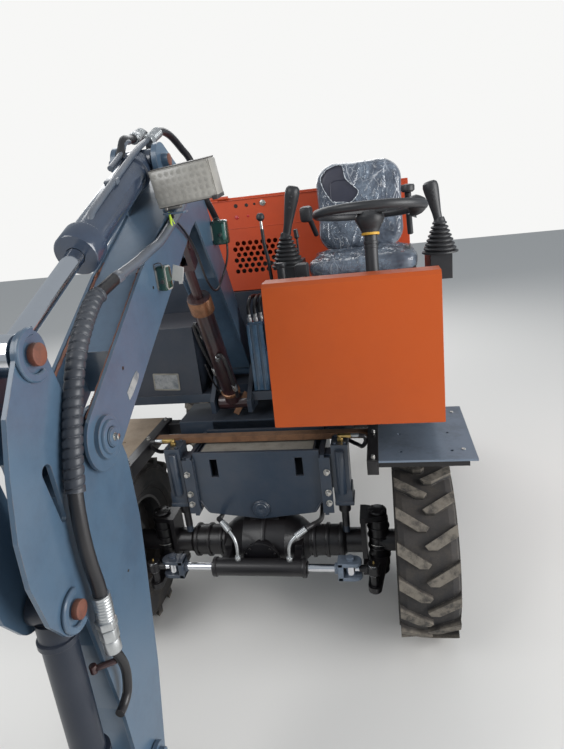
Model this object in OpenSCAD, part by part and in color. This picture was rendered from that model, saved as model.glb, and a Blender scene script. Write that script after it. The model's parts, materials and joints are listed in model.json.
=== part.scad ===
// Small wheeled excavator with a backhoe boom on a slewing upper.
// Millimetres, +Z up, -Y is the front that the boom points to, +X is the operator's left.
// The drawing datum is the ground under the middle of the front axle.
// The finished part is moved along Y so that its origin is the middle of its footprint.

/* [Wheels and axles] */
// Outer diameter of a tyre over its lugs
tyre_d = 742; // [730:1:750]
// Width of a tyre
tyre_w = 222; // [210:1:225]
// Diameter of the rim where the tyre seats
rim_d = 400; // [380:1:420]
// Distance between the tyres' middle planes
track_w = 1308; // [1300:1:1316]
// Distance between the axles
wheelbase = 1500; // [1490:1:1510]
// Distance between the two kingpins
kingpin_w = 950; // [946:1:954]
// Distance of the steering ball joints in front of the axle
steer_arm_l = 205; // [200:1:208]

/* [Chassis] */
// Top of the chassis under the slewing ring
chassis_top = 870; // [866:1:874]
// Width of the chassis box
chassis_w = 470; // [460:1:480]
// Outer diameter of the slewing ring
ring_d = 620; // [600:1:640]
// Top of the front mudguard plates
guard_top = 861; // [858:1:864]

/* [Upper] */
// Distance of the slewing axis behind the front axle
slew_y = 750; // [745:1:755]
// Underside of the upper frame
upper_z = 950; // [948:1:954]
// Width of the console in front of the operator
console_w = 564; // [556:1:570]
// Height of the console
console_h = 485; // [480:1:490]
// Top of the engine hood's front panel
hood_top = 1802; // [1798:1:1806]
// Diameter of the steering wheel
wheel_d = 380; // [376:1:384]

/* [Boom, arm and bucket] */
// Distance of the boom's middle plane from the machine's, to the operator's right
boom_x = 135; // [134:1:136]
// Width of the boom over its side plates
boom_w = 140; // [138:1:142]
// Thickness of the boom's side plates
boom_plate = 8; // [7:1:9]
// Width of the arm over its side plates
arm_w = 104; // [102:1:106]
// Width of the bucket
bucket_w = 380; // [370:1:390]

/* [Hidden] */
$fn = 48;

// Colours as the finish shows them
orange = "#e2571c";
hood_red = "#d9502c";
frame_blue = "#4d5d70";
boom_blue = "#64788c";
axle_black = "#1d1e21";
tyre_black = "#2c2a28";
tank_navy = "#2c3340";
rust_red = "#6b3a30";
chrome = "#c8ccd0";
rubber = "#1a1a1a";
plate_grey = "#6d6f70";

// Names for the two sides of the machine: operator's left is +X
LEFT = 1;
RIGHT = -1;

wheel_r = tyre_d / 2;
half_track = track_w / 2;
half_kingpin = kingpin_w / 2;
half_ball = half_kingpin - 20;
kingpin_h = 230;
hub_z = wheel_r;

// Footprint along Y, from the arm's ear plates to the rear tyres
front_y = -1318;
rear_y = wheelbase + wheel_r;
mid_y = (front_y + rear_y) / 2;

// Pivots of the working gear as [y, z]
boom_foot = [395, 1060];
boom_cyl_base = [225, 940];
boom_cyl_eye = [-142, 1668];
boom_tip = [-1000, 1347];
arm_cyl_base = [-365, 1930];
arm_cyl_eye = [-1146, 1580];
bucket_cyl_base = [-1219, 1081];
bucket_pivot = [-1100, 350];
rocker_pivot = [-1078, 505];
rocker_end = [-1234, 462];
link_end = [-1222, 330];

// Bearing play and side gaps
pin_play = 0.5;
side_gap = 3;

function dist(a, b) = norm(b - a);
function angle_of(a, b) = atan2(b[1] - a[1], b[0] - a[0]);
function along(a, b, t) = a + (b - a) * t;

// Turns a profile drawn in [y, z] into a slab of the given thickness centred on x
module slab(x, w) {
  translate([x - w / 2, 0, 0]) rotate([90, 0, 90]) linear_extrude(w) children();
}

// Round bar along X
module bar_x(x0, x1, yz, d) {
  translate([x0, yz[0], yz[1]]) rotate([0, 90, 0]) cylinder(h = x1 - x0, d = d);
}

// Round bar from one [y, z] point towards another, in the plane at x
module bar_in_plane(x, from, to, d, start = 0, end = -1) {
  length = end < 0 ? dist(from, to) : end;
  translate([x, from[0], from[1]])
    rotate([angle_of(from, to) - 90, 0, 0])
      translate([0, 0, start]) cylinder(h = length - start, d = d);
}

module disc_at(yz, r) {
  translate(yz) circle(r = r);
}

function turned(v, a) = [v[0] * cos(a) - v[1] * sin(a), v[0] * sin(a) + v[1] * cos(a)];

// Outline that runs tangent from one round end to another, with true arcs
module taper(a, ra, b, rb) {
  u = (b - a) / dist(a, b);
  lean = acos((ra - rb) / dist(a, b));
  n1 = turned(u, lean);
  n2 = turned(u, -lean);
  disc_at(a, ra);
  disc_at(b, rb);
  polygon([a + ra * n1, a + ra * n2, b + rb * n2, b + rb * n1]);
}

// A pin's two ends: head, shank through the lug and nothing between the lugs
module pin_ends(x_out, x_in, yz, d, head = 6) {
  for (side = [LEFT, RIGHT])
    translate([-boom_x, 0, 0]) {
      bar_x(side > 0 ? x_in : -x_out - head, side > 0 ? x_out + head : -x_in, yz, d);
    }
}

// Undercarriage

module chassis_frame() {
  rail_h = 150;
  front_end = 175;
  rear_end = wheelbase + 120;
  plate_t = 16;
  color(frame_blue) difference() {
    union() {
      for (side = [LEFT, RIGHT])
        translate([side * (chassis_w / 2 - 10) - 10, front_end, chassis_top - plate_t - rail_h])
          cube([20, rear_end - front_end, rail_h + plate_t - 0.5]);
      translate([-chassis_w / 2, front_end, chassis_top - plate_t])
        cube([chassis_w, rear_end - front_end, plate_t]);
      translate([0, slew_y, chassis_top - plate_t]) cylinder(h = plate_t, d = ring_d + 30);
      for (y = [front_end, wheelbase - 330, rear_end - 20])
        translate([-chassis_w / 2, y, chassis_top - plate_t - rail_h])
          cube([chassis_w, 20, rail_h + 1]);
      rear_hangers();
      tow_clevis(rear_end);
    }
    translate([0, slew_y, chassis_top - 60]) cylinder(h = 100, d = 240);
    tow_bore(rear_end);
  }
}

module rear_hangers() {
  for (y = [wheelbase - 91, wheelbase + 75]) difference() {
    translate([-chassis_w / 2, y, hub_z + 40]) cube([chassis_w, 16, chassis_top - hub_z - 50]);
    translate([0, wheelbase, hub_z]) sphere(r = 186, $fn = 64);
  }
  for (side = [LEFT, RIGHT])
    translate([side * (chassis_w / 2 - 16) - 16, wheelbase - 80, hub_z + 70.3])
      cube([32, 160, chassis_top - hub_z - 83]);
}

clevis_z = 560;
clevis_r = 40;
clevis_reach = 60;
tow_pin_d = 26;
module tow_clevis(rear_end) {
  for (z = [clevis_z - 45, clevis_z + 25]) hull() {
    translate([0, rear_end + clevis_reach, z]) cylinder(h = 20, r = clevis_r, $fn = 32);
    translate([-70, rear_end - 5, z]) cube([140, 5, 20]);
  }
  translate([-90, rear_end - 16, clevis_z - 75]) cube([180, 16, chassis_top - clevis_z - 80]);
}
module tow_bore(rear_end) {
  translate([0, rear_end + clevis_reach, clevis_z - 60]) cylinder(h = 120, d = tow_pin_d);
}

// Bolted bracket that carries the front axle's swing pin
bracket_y = -60;
bracket_half = 262;
bracket_top = 828;
bracket_low = 545;
bracket_vee = 516;
swing_pin_z = 566;
module front_bracket() {
  plate_t = 14;
  color(frame_blue) difference() {
    union() {
      translate([0, bracket_y + plate_t, 0]) rotate([90, 0, 0]) linear_extrude(plate_t) bracket_face();
      translate([0, 174.7, 0]) rotate([90, 0, 0]) linear_extrude(plate_t) bracket_face();
      for (side = [LEFT, RIGHT]) {
        translate([side * (bracket_half + 14) - 8, bracket_y - 20, bracket_low])
          cube([16, 254, bracket_top - bracket_low - 12]);
        translate([side * (bracket_half + 3) - 6, bracket_y, bracket_low + 20])
          cube([12, 234, bracket_top - bracket_low - 40]);
        translate([side * (bracket_half + 22) - 22, bracket_y - 20, bracket_low + 10]) cube([44, 10, 250]);
      }
      translate([-bracket_half + 20, bracket_y + 6, bracket_top - 22]) cube([2 * bracket_half - 40, 228, 10]);
      translate([0, bracket_y - 6, swing_pin_z]) rotate([-90, 0, 0]) cylinder(h = 240, d = 60);
    }
    for (side = [LEFT, RIGHT])
      translate([side * 178 - 16, bracket_y - 1, bracket_top - 112]) cube([32, plate_t + 2, 82]);
  }
}
module bracket_face() {
  polygon([[-bracket_half, bracket_top], [bracket_half, bracket_top],
           [bracket_half + 6, bracket_low + 60], [bracket_half - 36, bracket_low], [0, bracket_vee],
           [-bracket_half + 36, bracket_low], [-bracket_half - 6, bracket_low + 60]]);
}

module slew_ring() {
  color(plate_grey) difference() {
    union() {
      translate([0, slew_y, chassis_top]) cylinder(h = 34, d = ring_d);
      translate([0, slew_y, chassis_top + 34]) cylinder(h = upper_z - chassis_top - 34.5, d = ring_d - 90);
    }
    translate([0, slew_y, chassis_top - 1]) cylinder(h = 200, d = ring_d - 190);
  }
}

// One axle housing as a revolve about X, with its differential bulge
module axle_tube(half_l) {
  rotate([0, 90, 0]) rotate([0, 0, 90]) rotate_extrude() polygon([
    [0, -half_l], [52, -half_l], [52, -half_l + 78], [66, -half_l + 92], [66, -186], [96, -150],
    [128, -90], [135, 0], [128, 90], [96, 150], [66, 186], [66, half_l - 92], [52, half_l - 78],
    [52, half_l], [0, half_l]]);
}

cover_z = 395;
module front_axle() {
  yoke_in = half_kingpin - 55;
  color(axle_black) difference() {
    union() {
      translate([0, 0, hub_z]) axle_tube(yoke_in);
      translate([0, 0, cover_z]) rotate([90, 0, 0]) cylinder(h = 165, d = 110);
      translate([0, -155, cover_z]) rotate([90, 0, 0]) cylinder(h = 14, d = 150);
      for (side = [LEFT, RIGHT]) front_yoke(side);
      translate([-60, bracket_y + 22, hub_z + 100]) cube([120, 22, 105]);
      translate([-60, 118, hub_z + 40]) cube([120, 22, 165]);
      translate([-45, 100, hub_z - 45]) cube([90, 90, 90]);
      for (side = [LEFT, RIGHT]) translate([side * 150 - 15, -119.7, hub_z - 22]) cube([30, 110, 76]);
    }
    translate([0, bracket_y - 30, swing_pin_z]) rotate([-90, 0, 0]) cylinder(h = 260, d = 60 + 2 * pin_play);
    for (side = [LEFT, RIGHT]) {
      translate([side * half_kingpin, 0, hub_z - kingpin_h / 2 - 40]) cylinder(h = kingpin_h + 80, d = 40 + 2 * pin_play);
      translate([side * (half_kingpin - 60) - 15, -70, arm_low - 5]) cube([30, 66, arm_t + 10]);
    }
  }
}
// Fork that holds a kingpin at the end of the front axle
module front_yoke(side) {
  for (z = [hub_z - kingpin_h / 2 - 22, hub_z + kingpin_h / 2])
    translate([0, 0, z]) linear_extrude(22) hull() {
      translate([side * half_kingpin, 0]) circle(r = 38, $fn = 32);
      translate([side * (half_kingpin - 62), 0]) square([20, 110], center = true);
    }
  translate([side * (half_kingpin - 60) - 10, -52, hub_z - kingpin_h / 2 - 22]) cube([20, 104, kingpin_h + 44]);
}

module rear_axle() {
  color(axle_black) union() {
    translate([0, wheelbase, hub_z]) axle_tube(half_track - 60);
    translate([0, wheelbase, hub_z]) rotate([90, 0, 0]) cylinder(h = 190, d = 130);
    translate([0, wheelbase, hub_z]) rotate([-90, 0, 0]) cylinder(h = 155, d = 180);
    for (side = [LEFT, RIGHT])
      translate([side * (half_track - 65), wheelbase, hub_z]) rotate([0, 90 * side, 0]) cylinder(h = 44.5, d = 150);
    for (side = [LEFT, RIGHT])
      translate([side * (chassis_w / 2 - 16) - 16, wheelbase - 40, hub_z + 20]) cube([32, 80, 50]);
  }
}

// Transfer gearbox, its drive motor and the shafts to both axles
module drive_line() {
  box_y = 640;
  color(axle_black) union() {
    translate([-90, box_y, 420]) cube([180, 170, 300]);
    translate([0, box_y + 170, 560]) rotate([-90, 0, 0]) cylinder(h = 150, d = 130);
    translate([0, 196, hub_z]) rotate([angle_up(196, hub_z, box_y, 470), 0, 0])
      rotate([-90, 0, 0]) cylinder(h = dist([196, hub_z], [box_y + 5, 470]), d = 50);
    translate([0, box_y + 165, 470]) rotate([angle_up(box_y + 165, 470, wheelbase - 190, hub_z), 0, 0])
      rotate([-90, 0, 0]) cylinder(h = dist([box_y + 165, 470], [wheelbase - 196, hub_z]), d = 50);
    translate([-150, box_y + 50, 700]) cube([300, 70, chassis_top - 16.3 - 700]);
  }
}
function angle_up(y0, z0, y1, z1) = atan2(z1 - z0, y1 - y0);

// Mudguard plate over a front wheel, on an angle frame
guard_in = 496;
guard_out = 840;
guard_front = -223;
guard_back = 254;
guard_hole_d = 13;
guard_hole_x = 180;
guard_hole_y = 150;
guard_mid_x = (guard_in + guard_out) / 2;
guard_mid_y = -80;
module mudguard(side) {
  color(side > 0 ? plate_grey : "#9c8468") difference() {
    translate([side > 0 ? guard_in + 1.3 : -guard_out, guard_front, guard_top - 8])
      cube([guard_out - guard_in - 1.3, guard_back - guard_front, 8]);
    for (dx = [-1, 1], dy = [-1, 1])
      translate([side * guard_mid_x + dx * guard_hole_x / 2, guard_mid_y + dy * guard_hole_y / 2, guard_top - 20])
        cylinder(h = 40, d = guard_hole_d);
  }
}

// Square tubes at the plates' inner edges, with ribs under the plates and arms to the chassis
module guard_frames() {
  rib = 48;
  color(axle_black) for (side = [LEFT, RIGHT]) {
    translate([side * (guard_in - 20) - 20.5, guard_front + 4, guard_top - 58])
      cube([41, guard_back - guard_front - 8, 58]);
    for (y = [guard_front + 56, guard_back - 66])
      translate([side > 0 ? guard_in : -guard_out + 20, y, guard_top - 8.3 - rib]) cube([guard_out - guard_in - 20, 6, rib]);
    translate([side > 0 ? chassis_w / 2 + 0.3 : -guard_in + 10, 190, guard_top - 58])
      cube([guard_in - chassis_w / 2 - 10.3, 50, 50.5]);
  }
}

// Rusty angle bar that ties the two mudguards together above the axle
module cross_bar() {
  color("#8a7152") union() {
    translate([-guard_in + 40.5, 40, guard_top - 14]) cube([2 * guard_in - 81, 40, 6]);
    translate([-guard_in + 40.5, 40, guard_top - 34]) cube([2 * guard_in - 81, 6, 21]);
  }
}

// Double rod steering cylinder on the front of the axle
steer_y = -205;
steer_z = 385;
steer_barrel_half = 190;
steer_barrel_d = 70;
steer_rod_d = 30;
module steer_cylinder() {
  color(axle_black) difference() {
    union() {
      translate([-steer_barrel_half, steer_y, steer_z]) rotate([0, 90, 0])
        cylinder(h = 2 * steer_barrel_half, d = steer_barrel_d);
      for (x = [-165, 135]) translate([x, steer_y, steer_z - 20]) cube([30, 85, 40]);
    }
    bar_x(-steer_barrel_half - 1, steer_barrel_half + 1, [steer_y, steer_z], steer_rod_d + 2 * pin_play);
  }
}

// The rod that passes through the cylinder, with a fork and a ball joint at each end
fork_start = 318;
module steer_rod() {
  color(chrome) union() {
    bar_x(-fork_start - 5, fork_start + 5, [steer_y, steer_z], steer_rod_d);
    for (side = [LEFT, RIGHT]) {
      translate([side * (fork_start + 9) - 9, steer_y - 28, steer_z - 39]) cube([18, 56, 78]);
      for (z = [-39, 25]) translate([side * (fork_start + 35) - 35, steer_y - 28, steer_z + z]) cube([70, 56, 14]);
      translate([side * (fork_start + 48), steer_y, steer_z - 45]) cylinder(h = 90, d = 24);
      translate([side * (fork_start + 48), steer_y, steer_z - 22]) cylinder(h = 44, d = 42);
      bar_x(side > 0 ? fork_start + 60 : -half_ball, side > 0 ? half_ball : -fork_start - 60,
            [steer_y, steer_z], 26);
      translate([side * half_ball, steer_y, steer_z - 22]) cylinder(h = 44, d = 46);
    }
  }
}

// Cylinders that lock the axle's swing, one at each side of the bracket
lock_x = 345;
module axle_lock_cylinders() {
  for (side = [LEFT, RIGHT]) color(frame_blue) {
    translate([side * lock_x - 33, -70, 640]) cube([66, 90, 212]);
    translate([side * lock_x, -25, 600]) cylinder(h = 50, d = 50);
    color(chrome) translate([side * lock_x, -25, hub_z + 62]) cylinder(h = 600 - hub_z - 61, d = 28);
    color(frame_blue) translate([side * (bracket_half + 42.3) - 20, -60, 660]) cube([40, 60, 150]);
  }
}

// The steering arm leaves the knuckle under the axle tube, and a stud rises from it to the ball joint
arm_low = 284;
arm_t = 24;
module knuckle(side) {
  color(axle_black) union() {
    translate([side * half_kingpin, 0, hub_z - kingpin_h / 2 - 28]) cylinder(h = kingpin_h + 56, d = 40);
    translate([side * half_kingpin, 0, hub_z - kingpin_h / 2 + side_gap]) cylinder(h = kingpin_h - 2 * side_gap, d = 84);
    translate([side * half_kingpin, 0, hub_z]) rotate([0, 90 * side, 0]) cylinder(h = half_track - half_kingpin - 30, d = 90);
    translate([side * (half_track - 42.5), 0, hub_z]) rotate([0, 90 * side, 0]) cylinder(h = 22, d = 150);
    translate([side * half_kingpin, 0, arm_low]) linear_extrude(arm_t) hull() {
      circle(r = 36, $fn = 32);
      translate([side * (half_ball - half_kingpin), -steer_arm_l]) circle(r = 26, $fn = 32);
    }
    translate([side * half_ball, -steer_arm_l, arm_low]) cylinder(h = steer_z - 28 - arm_low, d = 30);
  }
}

// Tyre as a revolve about the wheel's own X axis, with its lugs standing on the tread
lug_count = 18;
lug_h = 22;
// Half of a lug's reach round the tread
lug_reach = 44.5;
module tyre(side, y) {
  w = tyre_w / 2;
  bead = rim_d / 2;
  tread = wheel_r - lug_h;
  color(tyre_black) translate([side * half_track, y, hub_z]) union() {
    rotate([0, 90, 0]) rotate_extrude($fn = 30)
      polygon([[bead, -w + 30], [bead + 60, -w], [tread - 26, -w], [tread - 6, -w + 9], [tread, -w + 30],
               [tread, w - 30], [tread - 6, w - 9], [tread - 26, w], [bead + 60, w], [bead, w - 30]]);
    lugs(w);
  }
}
// Two rows of lugs, half a step apart, that lean down towards the middle at the wheel's front.
// Their tops are flat, with the corners on the tyre's outer circle and one corner on the ground
module lugs(w) {
  lug_top = sqrt(wheel_r * wheel_r - lug_reach * lug_reach);
  step = 360 / lug_count;
  for (half = [0, 1], i = [0:lug_count - 1])
    rotate([180 - atan(lug_reach / lug_top) + (i + half / 2) * step, 0, 0])
      translate([0, 0, wheel_r - lug_h - 31]) linear_extrude(lug_top - wheel_r + lug_h + 31)
        mirror([half, 0]) lug_outline(w);
}
// A lug as [across, round]: a bar that slants in from the shoulder and a level block with a point
module lug_outline(w) {
  polygon([[w - 4, lug_reach], [w - 4, 2.5], [32, -lug_reach], [2, -lug_reach], [-10, -30], [22, -10]]);
}

module rim(side, y) {
  w = tyre_w / 2 - 30;
  r = rim_d / 2;
  color("#2b2d30") translate([side * half_track, y, hub_z]) rotate([0, 90 * side, 0]) union() {
    rotate_extrude($fn = 96) polygon([
      [r, -w], [r - 12, -w], [r - 22, -w + 30], [r - 22, -10], [75, -20], [20, -20], [20, -6],
      [70, -6], [r - 26, 4], [r - 22, w - 30], [r - 12, w], [r, w]]);
    translate([0, 0, -19]) cylinder(h = 60, d = 96);
  }
}

// Upper

tank_right = 640;
deck_back = 1375;
deck_front = -95;
floor_left = 722;
tail_y = 1600;
module upper_frame() {
  deck_t = 40;
  color(frame_blue) difference() {
    union() {
      translate([-tank_right, 200, upper_z]) cube([tank_right + floor_left - 20, deck_back - 200, deck_t]);
      translate([140, deck_front, upper_z]) cube([floor_left - 160, 210 - deck_front, deck_t]);
      boom_stand();
    }
    translate([0, slew_y, upper_z - 1]) cylinder(h = deck_t + 2, d = 200);
    translate([-boom_x - stand_in, 190, upper_z - 60]) cube([2 * stand_in, 120, deck_t + 80]);
  }
}
// Two plates that carry the boom's foot and the boom cylinder's base
stand_plate = 20;
stand_in = boom_w / 2 + side_gap;
module boom_stand() {
  for (side = [LEFT, RIGHT])
    difference() {
      slab(-boom_x + side * (stand_in + stand_plate / 2), stand_plate) polygon([
        [170, 905], [280, 905], [330, upper_z], [560, upper_z], [560, 1000], [450, 1110], [395, 1125],
        [345, 1110], [165, 965]]);
      bar_x(-boom_x - 200, -boom_x + 200, boom_foot, 44);
      bar_x(-boom_x - 200, -boom_x + 200, boom_cyl_base, 36);
    }
  pin_ends(stand_in + stand_plate, -1, boom_foot, 44);
  pin_ends(stand_in + stand_plate, -1, boom_cyl_base, 36);
}

weight_front = 1300;
weight_h = 380;
module counterweight() {
  bow_r = 1112;
  color(frame_blue) translate([0, 0, upper_z + 40.3]) linear_extrude(weight_h) intersection() {
    translate([-tank_right, weight_front]) square([tank_right + floor_left, tail_y - weight_front + 20]);
    translate([(floor_left - tank_right) / 2, tail_y - bow_r]) circle(r = bow_r, $fn = 128);
  }
}

hood_left = 680;
hood_right = -340;
hood_front = 660;
module engine_block() {
  color(plate_grey) translate([-240, 860, upper_z + 60]) cube([760, 430, 480]);
}

// The cover's hinge line along the top of the grille panel, as [y, z]
hinge = [hood_front, hood_top + 2];
hinge_x = [-200, 540];

// Fixed panels round the engine: grille panel behind the seat and two side panels
module hood_panels() {
  t = 4;
  color(hood_red) difference() {
    union() {
      translate([hood_right, hood_front + t, 0]) rotate([90, 0, 0]) linear_extrude(t) polygon([
        [0, 1360], [480, 1360], [480, upper_z + 41], [hood_left - hood_right, upper_z + 41],
        [hood_left - hood_right, hood_top - 9], [0, hood_top - 9]]);
      for (x = hinge_x) translate([x - 45, hinge[0] - 4, hood_top - 12]) cube([40, 7.9, 14]);
      for (x = hinge_x) bar_x(x - 45, x - 5, hinge, 16);
      for (x = [hood_right, hood_left - t]) slab(x + t / 2, t)
        polygon([[hood_front, upper_z + 41], [weight_front - 4, upper_z + 41], [weight_front - 4, 1374],
                 [1516, 1374], [1516, 1385], [1440, 1560], [1195, 1596], [hood_front, 1640]]);
    }
    grille_holes();
  }
}
grille_pitch = 31;
module grille_holes() {
  for (row = [0:5], col = [0:7])
    translate([-150 + (col + (row % 2) / 2) * grille_pitch, hood_front - 2, 1455 + row * grille_pitch * 0.86])
      rotate([-90, 0, 0]) cylinder(h = 10, d = 22, $fn = 24);
}

// Hinged cover over the engine
cover_gap = 6;
module hood_cover() {
  t = 4;
  color(hood_red) {
    difference() {
      slab((hood_left + hood_right) / 2, hood_left - hood_right) cover_profile(0);
      slab((hood_left + hood_right) / 2, hood_left - hood_right - 2 * t) cover_profile(t);
      for (x = hinge_x) bar_x(x - 47, x + 45, hinge, 24);
    }
    for (x = hinge_x) {
      bar_x(x - 4, x + 47, hinge, 16);
      translate([x + 44, hinge[0], hinge[1] - 4]) cube([3, 30, 4]);
      translate([x - 3, hinge[0] + 4, hinge[1] - 6]) cube([50, 26, 4]);
    }
  }
}
module cover_profile(inset) {
  polygon([[hood_front + cover_gap + inset, 1648 - inset], [hood_front + cover_gap + inset, hood_top - inset],
           [hood_front + 200, hood_top - inset], [1400 - inset, 1720 - inset], [1500 - inset, 1640 - inset],
           [1560 - inset, 1400], [1528 - inset * 0, 1386 - inset], [1448 , 1566 - inset], [1195, 1602 - inset]]);
}

module front_tank() {
  color(tank_navy) translate([-tank_right, 200, upper_z + 41]) cube([370, 330, 307]);
}
module rear_tank() {
  color(tank_navy) translate([-tank_right, 535, upper_z + 41]) cube([290, 640, 560]);
}

// Dark wall in front of the engine, below the grille panel
module bulkhead() {
  color(tank_navy) {
    translate([-340, 640, upper_z + 41]) cube([480, 16, 366]);
    translate([-340, 610, upper_z + 41]) cube([480, 30.5, 12]);
  }
}

module valve_stand() {
  color(boom_blue) union() {
    translate([-30, 210, upper_z + 41]) cube([70, 60, 300]);
    translate([-30, 275, upper_z + 41]) cube([150, 120, 160]);
  }
}

floor_z = 1055;
console_low = 1045;
console_y = -312;
module operator_floor() {
  color(plate_grey) union() {
    translate([162.5, -290, floor_z - 8]) cube([console_w - 9, 925, 8]);
    for (x = [164, 700]) translate([x, -180, upper_z + 40.5]) cube([16, 805, floor_z - upper_z - 48]);
  }
}

// Folded sheet shield in front of the operator
module console() {
  t = 4;
  x0 = 158;
  lean = 40;
  color(orange) difference() {
    slab(x0 + console_w / 2, console_w) polygon([
      [console_y, console_low], [console_y + lean, console_low + console_h - 12],
      [console_y + lean + 12, console_low + console_h], [console_y + lean + 90, console_low + console_h],
      [console_y + 150, console_low + 60], [console_y + 90, console_low]]);
    slab(x0 + console_w / 2, console_w - 2 * t) polygon([
      [console_y + t, console_low - 1], [console_y + t + lean, console_low + console_h - 12],
      [console_y + lean + 12, console_low + console_h - t], [console_y + lean + 120, console_low + console_h - t],
      [console_y + 200, console_low + 60], [console_y + 160, console_low - 1]]);
  }
}

wheel_x = 513;
wheel_c = [wheel_x, -77, 1715];
wheel_tilt = 8;
// The hub's cone reaches this far under the rim
hub_drop = 76;
module steering_column() {
  color(rubber) union() {
    translate(wheel_c) rotate([-wheel_tilt, 0, 0]) translate([0, 0, -400]) cylinder(h = 400 - hub_drop - 4, d = 44);
    translate([wheel_x - 30, -170, floor_z + 0.3]) cube([60, 70, 380]);
  }
}
module steering_wheel() {
  color(rubber) translate(wheel_c) rotate([-wheel_tilt, 0, 0]) {
    rotate_extrude($fn = 72) translate([wheel_d / 2 - 14, 0]) circle(d = 28);
    translate([0, 0, -hub_drop]) cylinder(h = hub_drop - 24, d1 = 54, d2 = 90);
    translate([0, 0, -24]) cylinder(h = 18, d1 = 90, d2 = 66);
    for (a = [90, 210, 330]) rotate([0, 0, a]) translate([0, -14, -10]) cube([wheel_d / 2 - 14, 28, 10]);
  }
}

seat_x = 463;
module seat_base() {
  color(rubber) union() {
    translate([seat_x - 190, 150, floor_z + 0.3]) cube([380, 400, 340]);
    translate([seat_x - 175, 120, floor_z + 340]) cube([350, 440, 40]);
    translate([pod_x[0] + 19.8, 250, 1392]) cube([80, 60, 40]);
    translate([seat_x + 180, 250, 1392]) cube([pod_x[1] - 20.3 - seat_x - 180, 60, 40]);
    for (x = [-80, 80]) back_place() translate([x - 15, back_t / 2 + 0.3, -70]) cube([30, 12, 290]);
  }
}
// Rectangle with round corners, centred
module rounded(w, h, r) {
  square([w - 2 * r, h], center = true);
  square([w, h - 2 * r], center = true);
  for (x = [-1, 1], y = [-1, 1]) translate([x * (w / 2 - r), y * (h / 2 - r)]) circle(r = r, $fn = 32);
}
module seat_cushion() {
  color(tank_navy) translate([seat_x + 14, 262, floor_z + 380.3]) linear_extrude(108) rounded(410, 385, 60);
}
// The back leans behind the cushion, on two bars that rise from the seat's base
back_t = 90;
module back_place() {
  translate([seat_x - 8, 502, floor_z + 400]) rotate([-12, 0, 0]) children();
}
module seat_back() {
  color(tank_navy) back_place()
    translate([0, back_t / 2, 265]) rotate([90, 0, 0]) linear_extrude(back_t) rounded(370, 400, 90);
}

pod_x = [190, 759];
module control_pods() {
  color(rubber) for (x = pod_x) {
    translate([x - 38, 80, 1440]) cube([76, 280, 90]);
    translate([x - 20, 250, 1392.3]) cube([x < seat_x ? 39.5 : 20, 60, 50]);
  }
}
module joysticks() {
  // Each stick as [x, lean in degrees, length of its grip]
  color(rubber) for (stick = [[pod_x[0], 14, 150], [pod_x[1], -9, 120]]) {
    translate([stick[0], 130, 1530.3]) cylinder(h = 112, d1 = 122, d2 = 42);
    translate([stick[0], 130, 1615]) rotate([0, stick[1], 0]) {
      cylinder(h = 60, d = 30);
      translate([0, 0, 55]) cylinder(h = stick[2], d1 = 38, d2 = 46);
    }
  }
}

// Working gear

module boom_profile(inset = 0) {
  taper(boom_tip, 74 - inset, boom_mid, 82 - inset);
  taper(boom_mid, 82 - inset, boom_shoulder, 74 - inset);
  taper(boom_shoulder, 74 - inset, boom_apex, 76 - inset);
  taper(boom_apex, 76 - inset, boom_knee, 54 - inset);
  taper(boom_knee, 54 - inset, boom_foot, 62 - inset);
}
boom_mid = [-620, 1579];
boom_shoulder = [-240, 1787];
boom_apex = [-122, 1838];
boom_knee = [230, 1300];
fork_r = 200;
plate_proud = 6;
module boom_body() {
  inner = boom_w - 2 * boom_plate;
  lug = 20;
  color(boom_blue) difference() {
    union() {
      for (side = [LEFT, RIGHT]) slab(-boom_x + side * (boom_w - boom_plate) / 2, boom_plate) boom_profile();
      slab(-boom_x, inner + 1) difference() {
        boom_profile(plate_proud);
        disc_at(boom_tip, fork_r);
        disc_at(boom_foot, 70);
        taper(boom_cyl_eye, 88, along(boom_cyl_eye, boom_cyl_base, 0.2), 80);
      }
      bar_x(-boom_x - boom_w / 2, -boom_x + boom_w / 2, boom_foot, 100);
      slab(-boom_x, lug) taper(boom_cyl_eye, 32, [-130, 1790], 60);
      for (side = [LEFT, RIGHT]) arm_cyl_ear(side);
      for (side = [LEFT, RIGHT]) {
        bar_x(-boom_x + side * (boom_w / 2 + 5) - 6, -boom_x + side * (boom_w / 2 + 5) + 6, boom_tip, 96);
        bar_x(-boom_x + side * (boom_w / 2) - 1.2, -boom_x + side * (boom_w / 2) + 1.2, boom_foot, 110);
      }
    }
    bar_x(-boom_x - 200, -boom_x + 200, boom_tip, 44);
    bar_x(-boom_x - 200, -boom_x + 200, boom_foot, 44 + 2 * pin_play);
    bar_x(-boom_x - 200, -boom_x + 200, boom_cyl_eye, 36);
    bar_x(-boom_x - 200, -boom_x + 200, arm_cyl_base, 36);
  }
  color(rust_red) {
    pin_ends(boom_w / 2 + 13, -1, boom_tip, 44);
    pin_ends(boom_w / 2 + 14, -1, arm_cyl_base, 36);
  }
}
module arm_cyl_ear(side) {
  slab(-boom_x + side * (boom_w / 2 - 8), 16) {
    taper(arm_cyl_base, 50, [-345, 1780], 44);
    taper(arm_cyl_base, 50, [-205, 1842], 46);
    polygon([arm_cyl_base, [-345, 1780], [-205, 1842]]);
  }
}

module lamps() {
  color("#b9b5a6") {
    translate([26, -465, 1858]) rotate([8, -5, -5]) cube([174, 52, 98], center = true);
    slab(-60.5, 7.4) polygon([[-345, 1814], [-375, 1814], [-475, 1826], [-475, 1850], [-345, 1856]]);
  }
  color("#1f4a38") {
    for (lamp = [[-551, 1617], [33, 1688]]) slab(-boom_x + boom_w / 2 + 15.3, 30) {
      translate(lamp) rounded(44, 66, 12);
    }
  }
}

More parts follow.
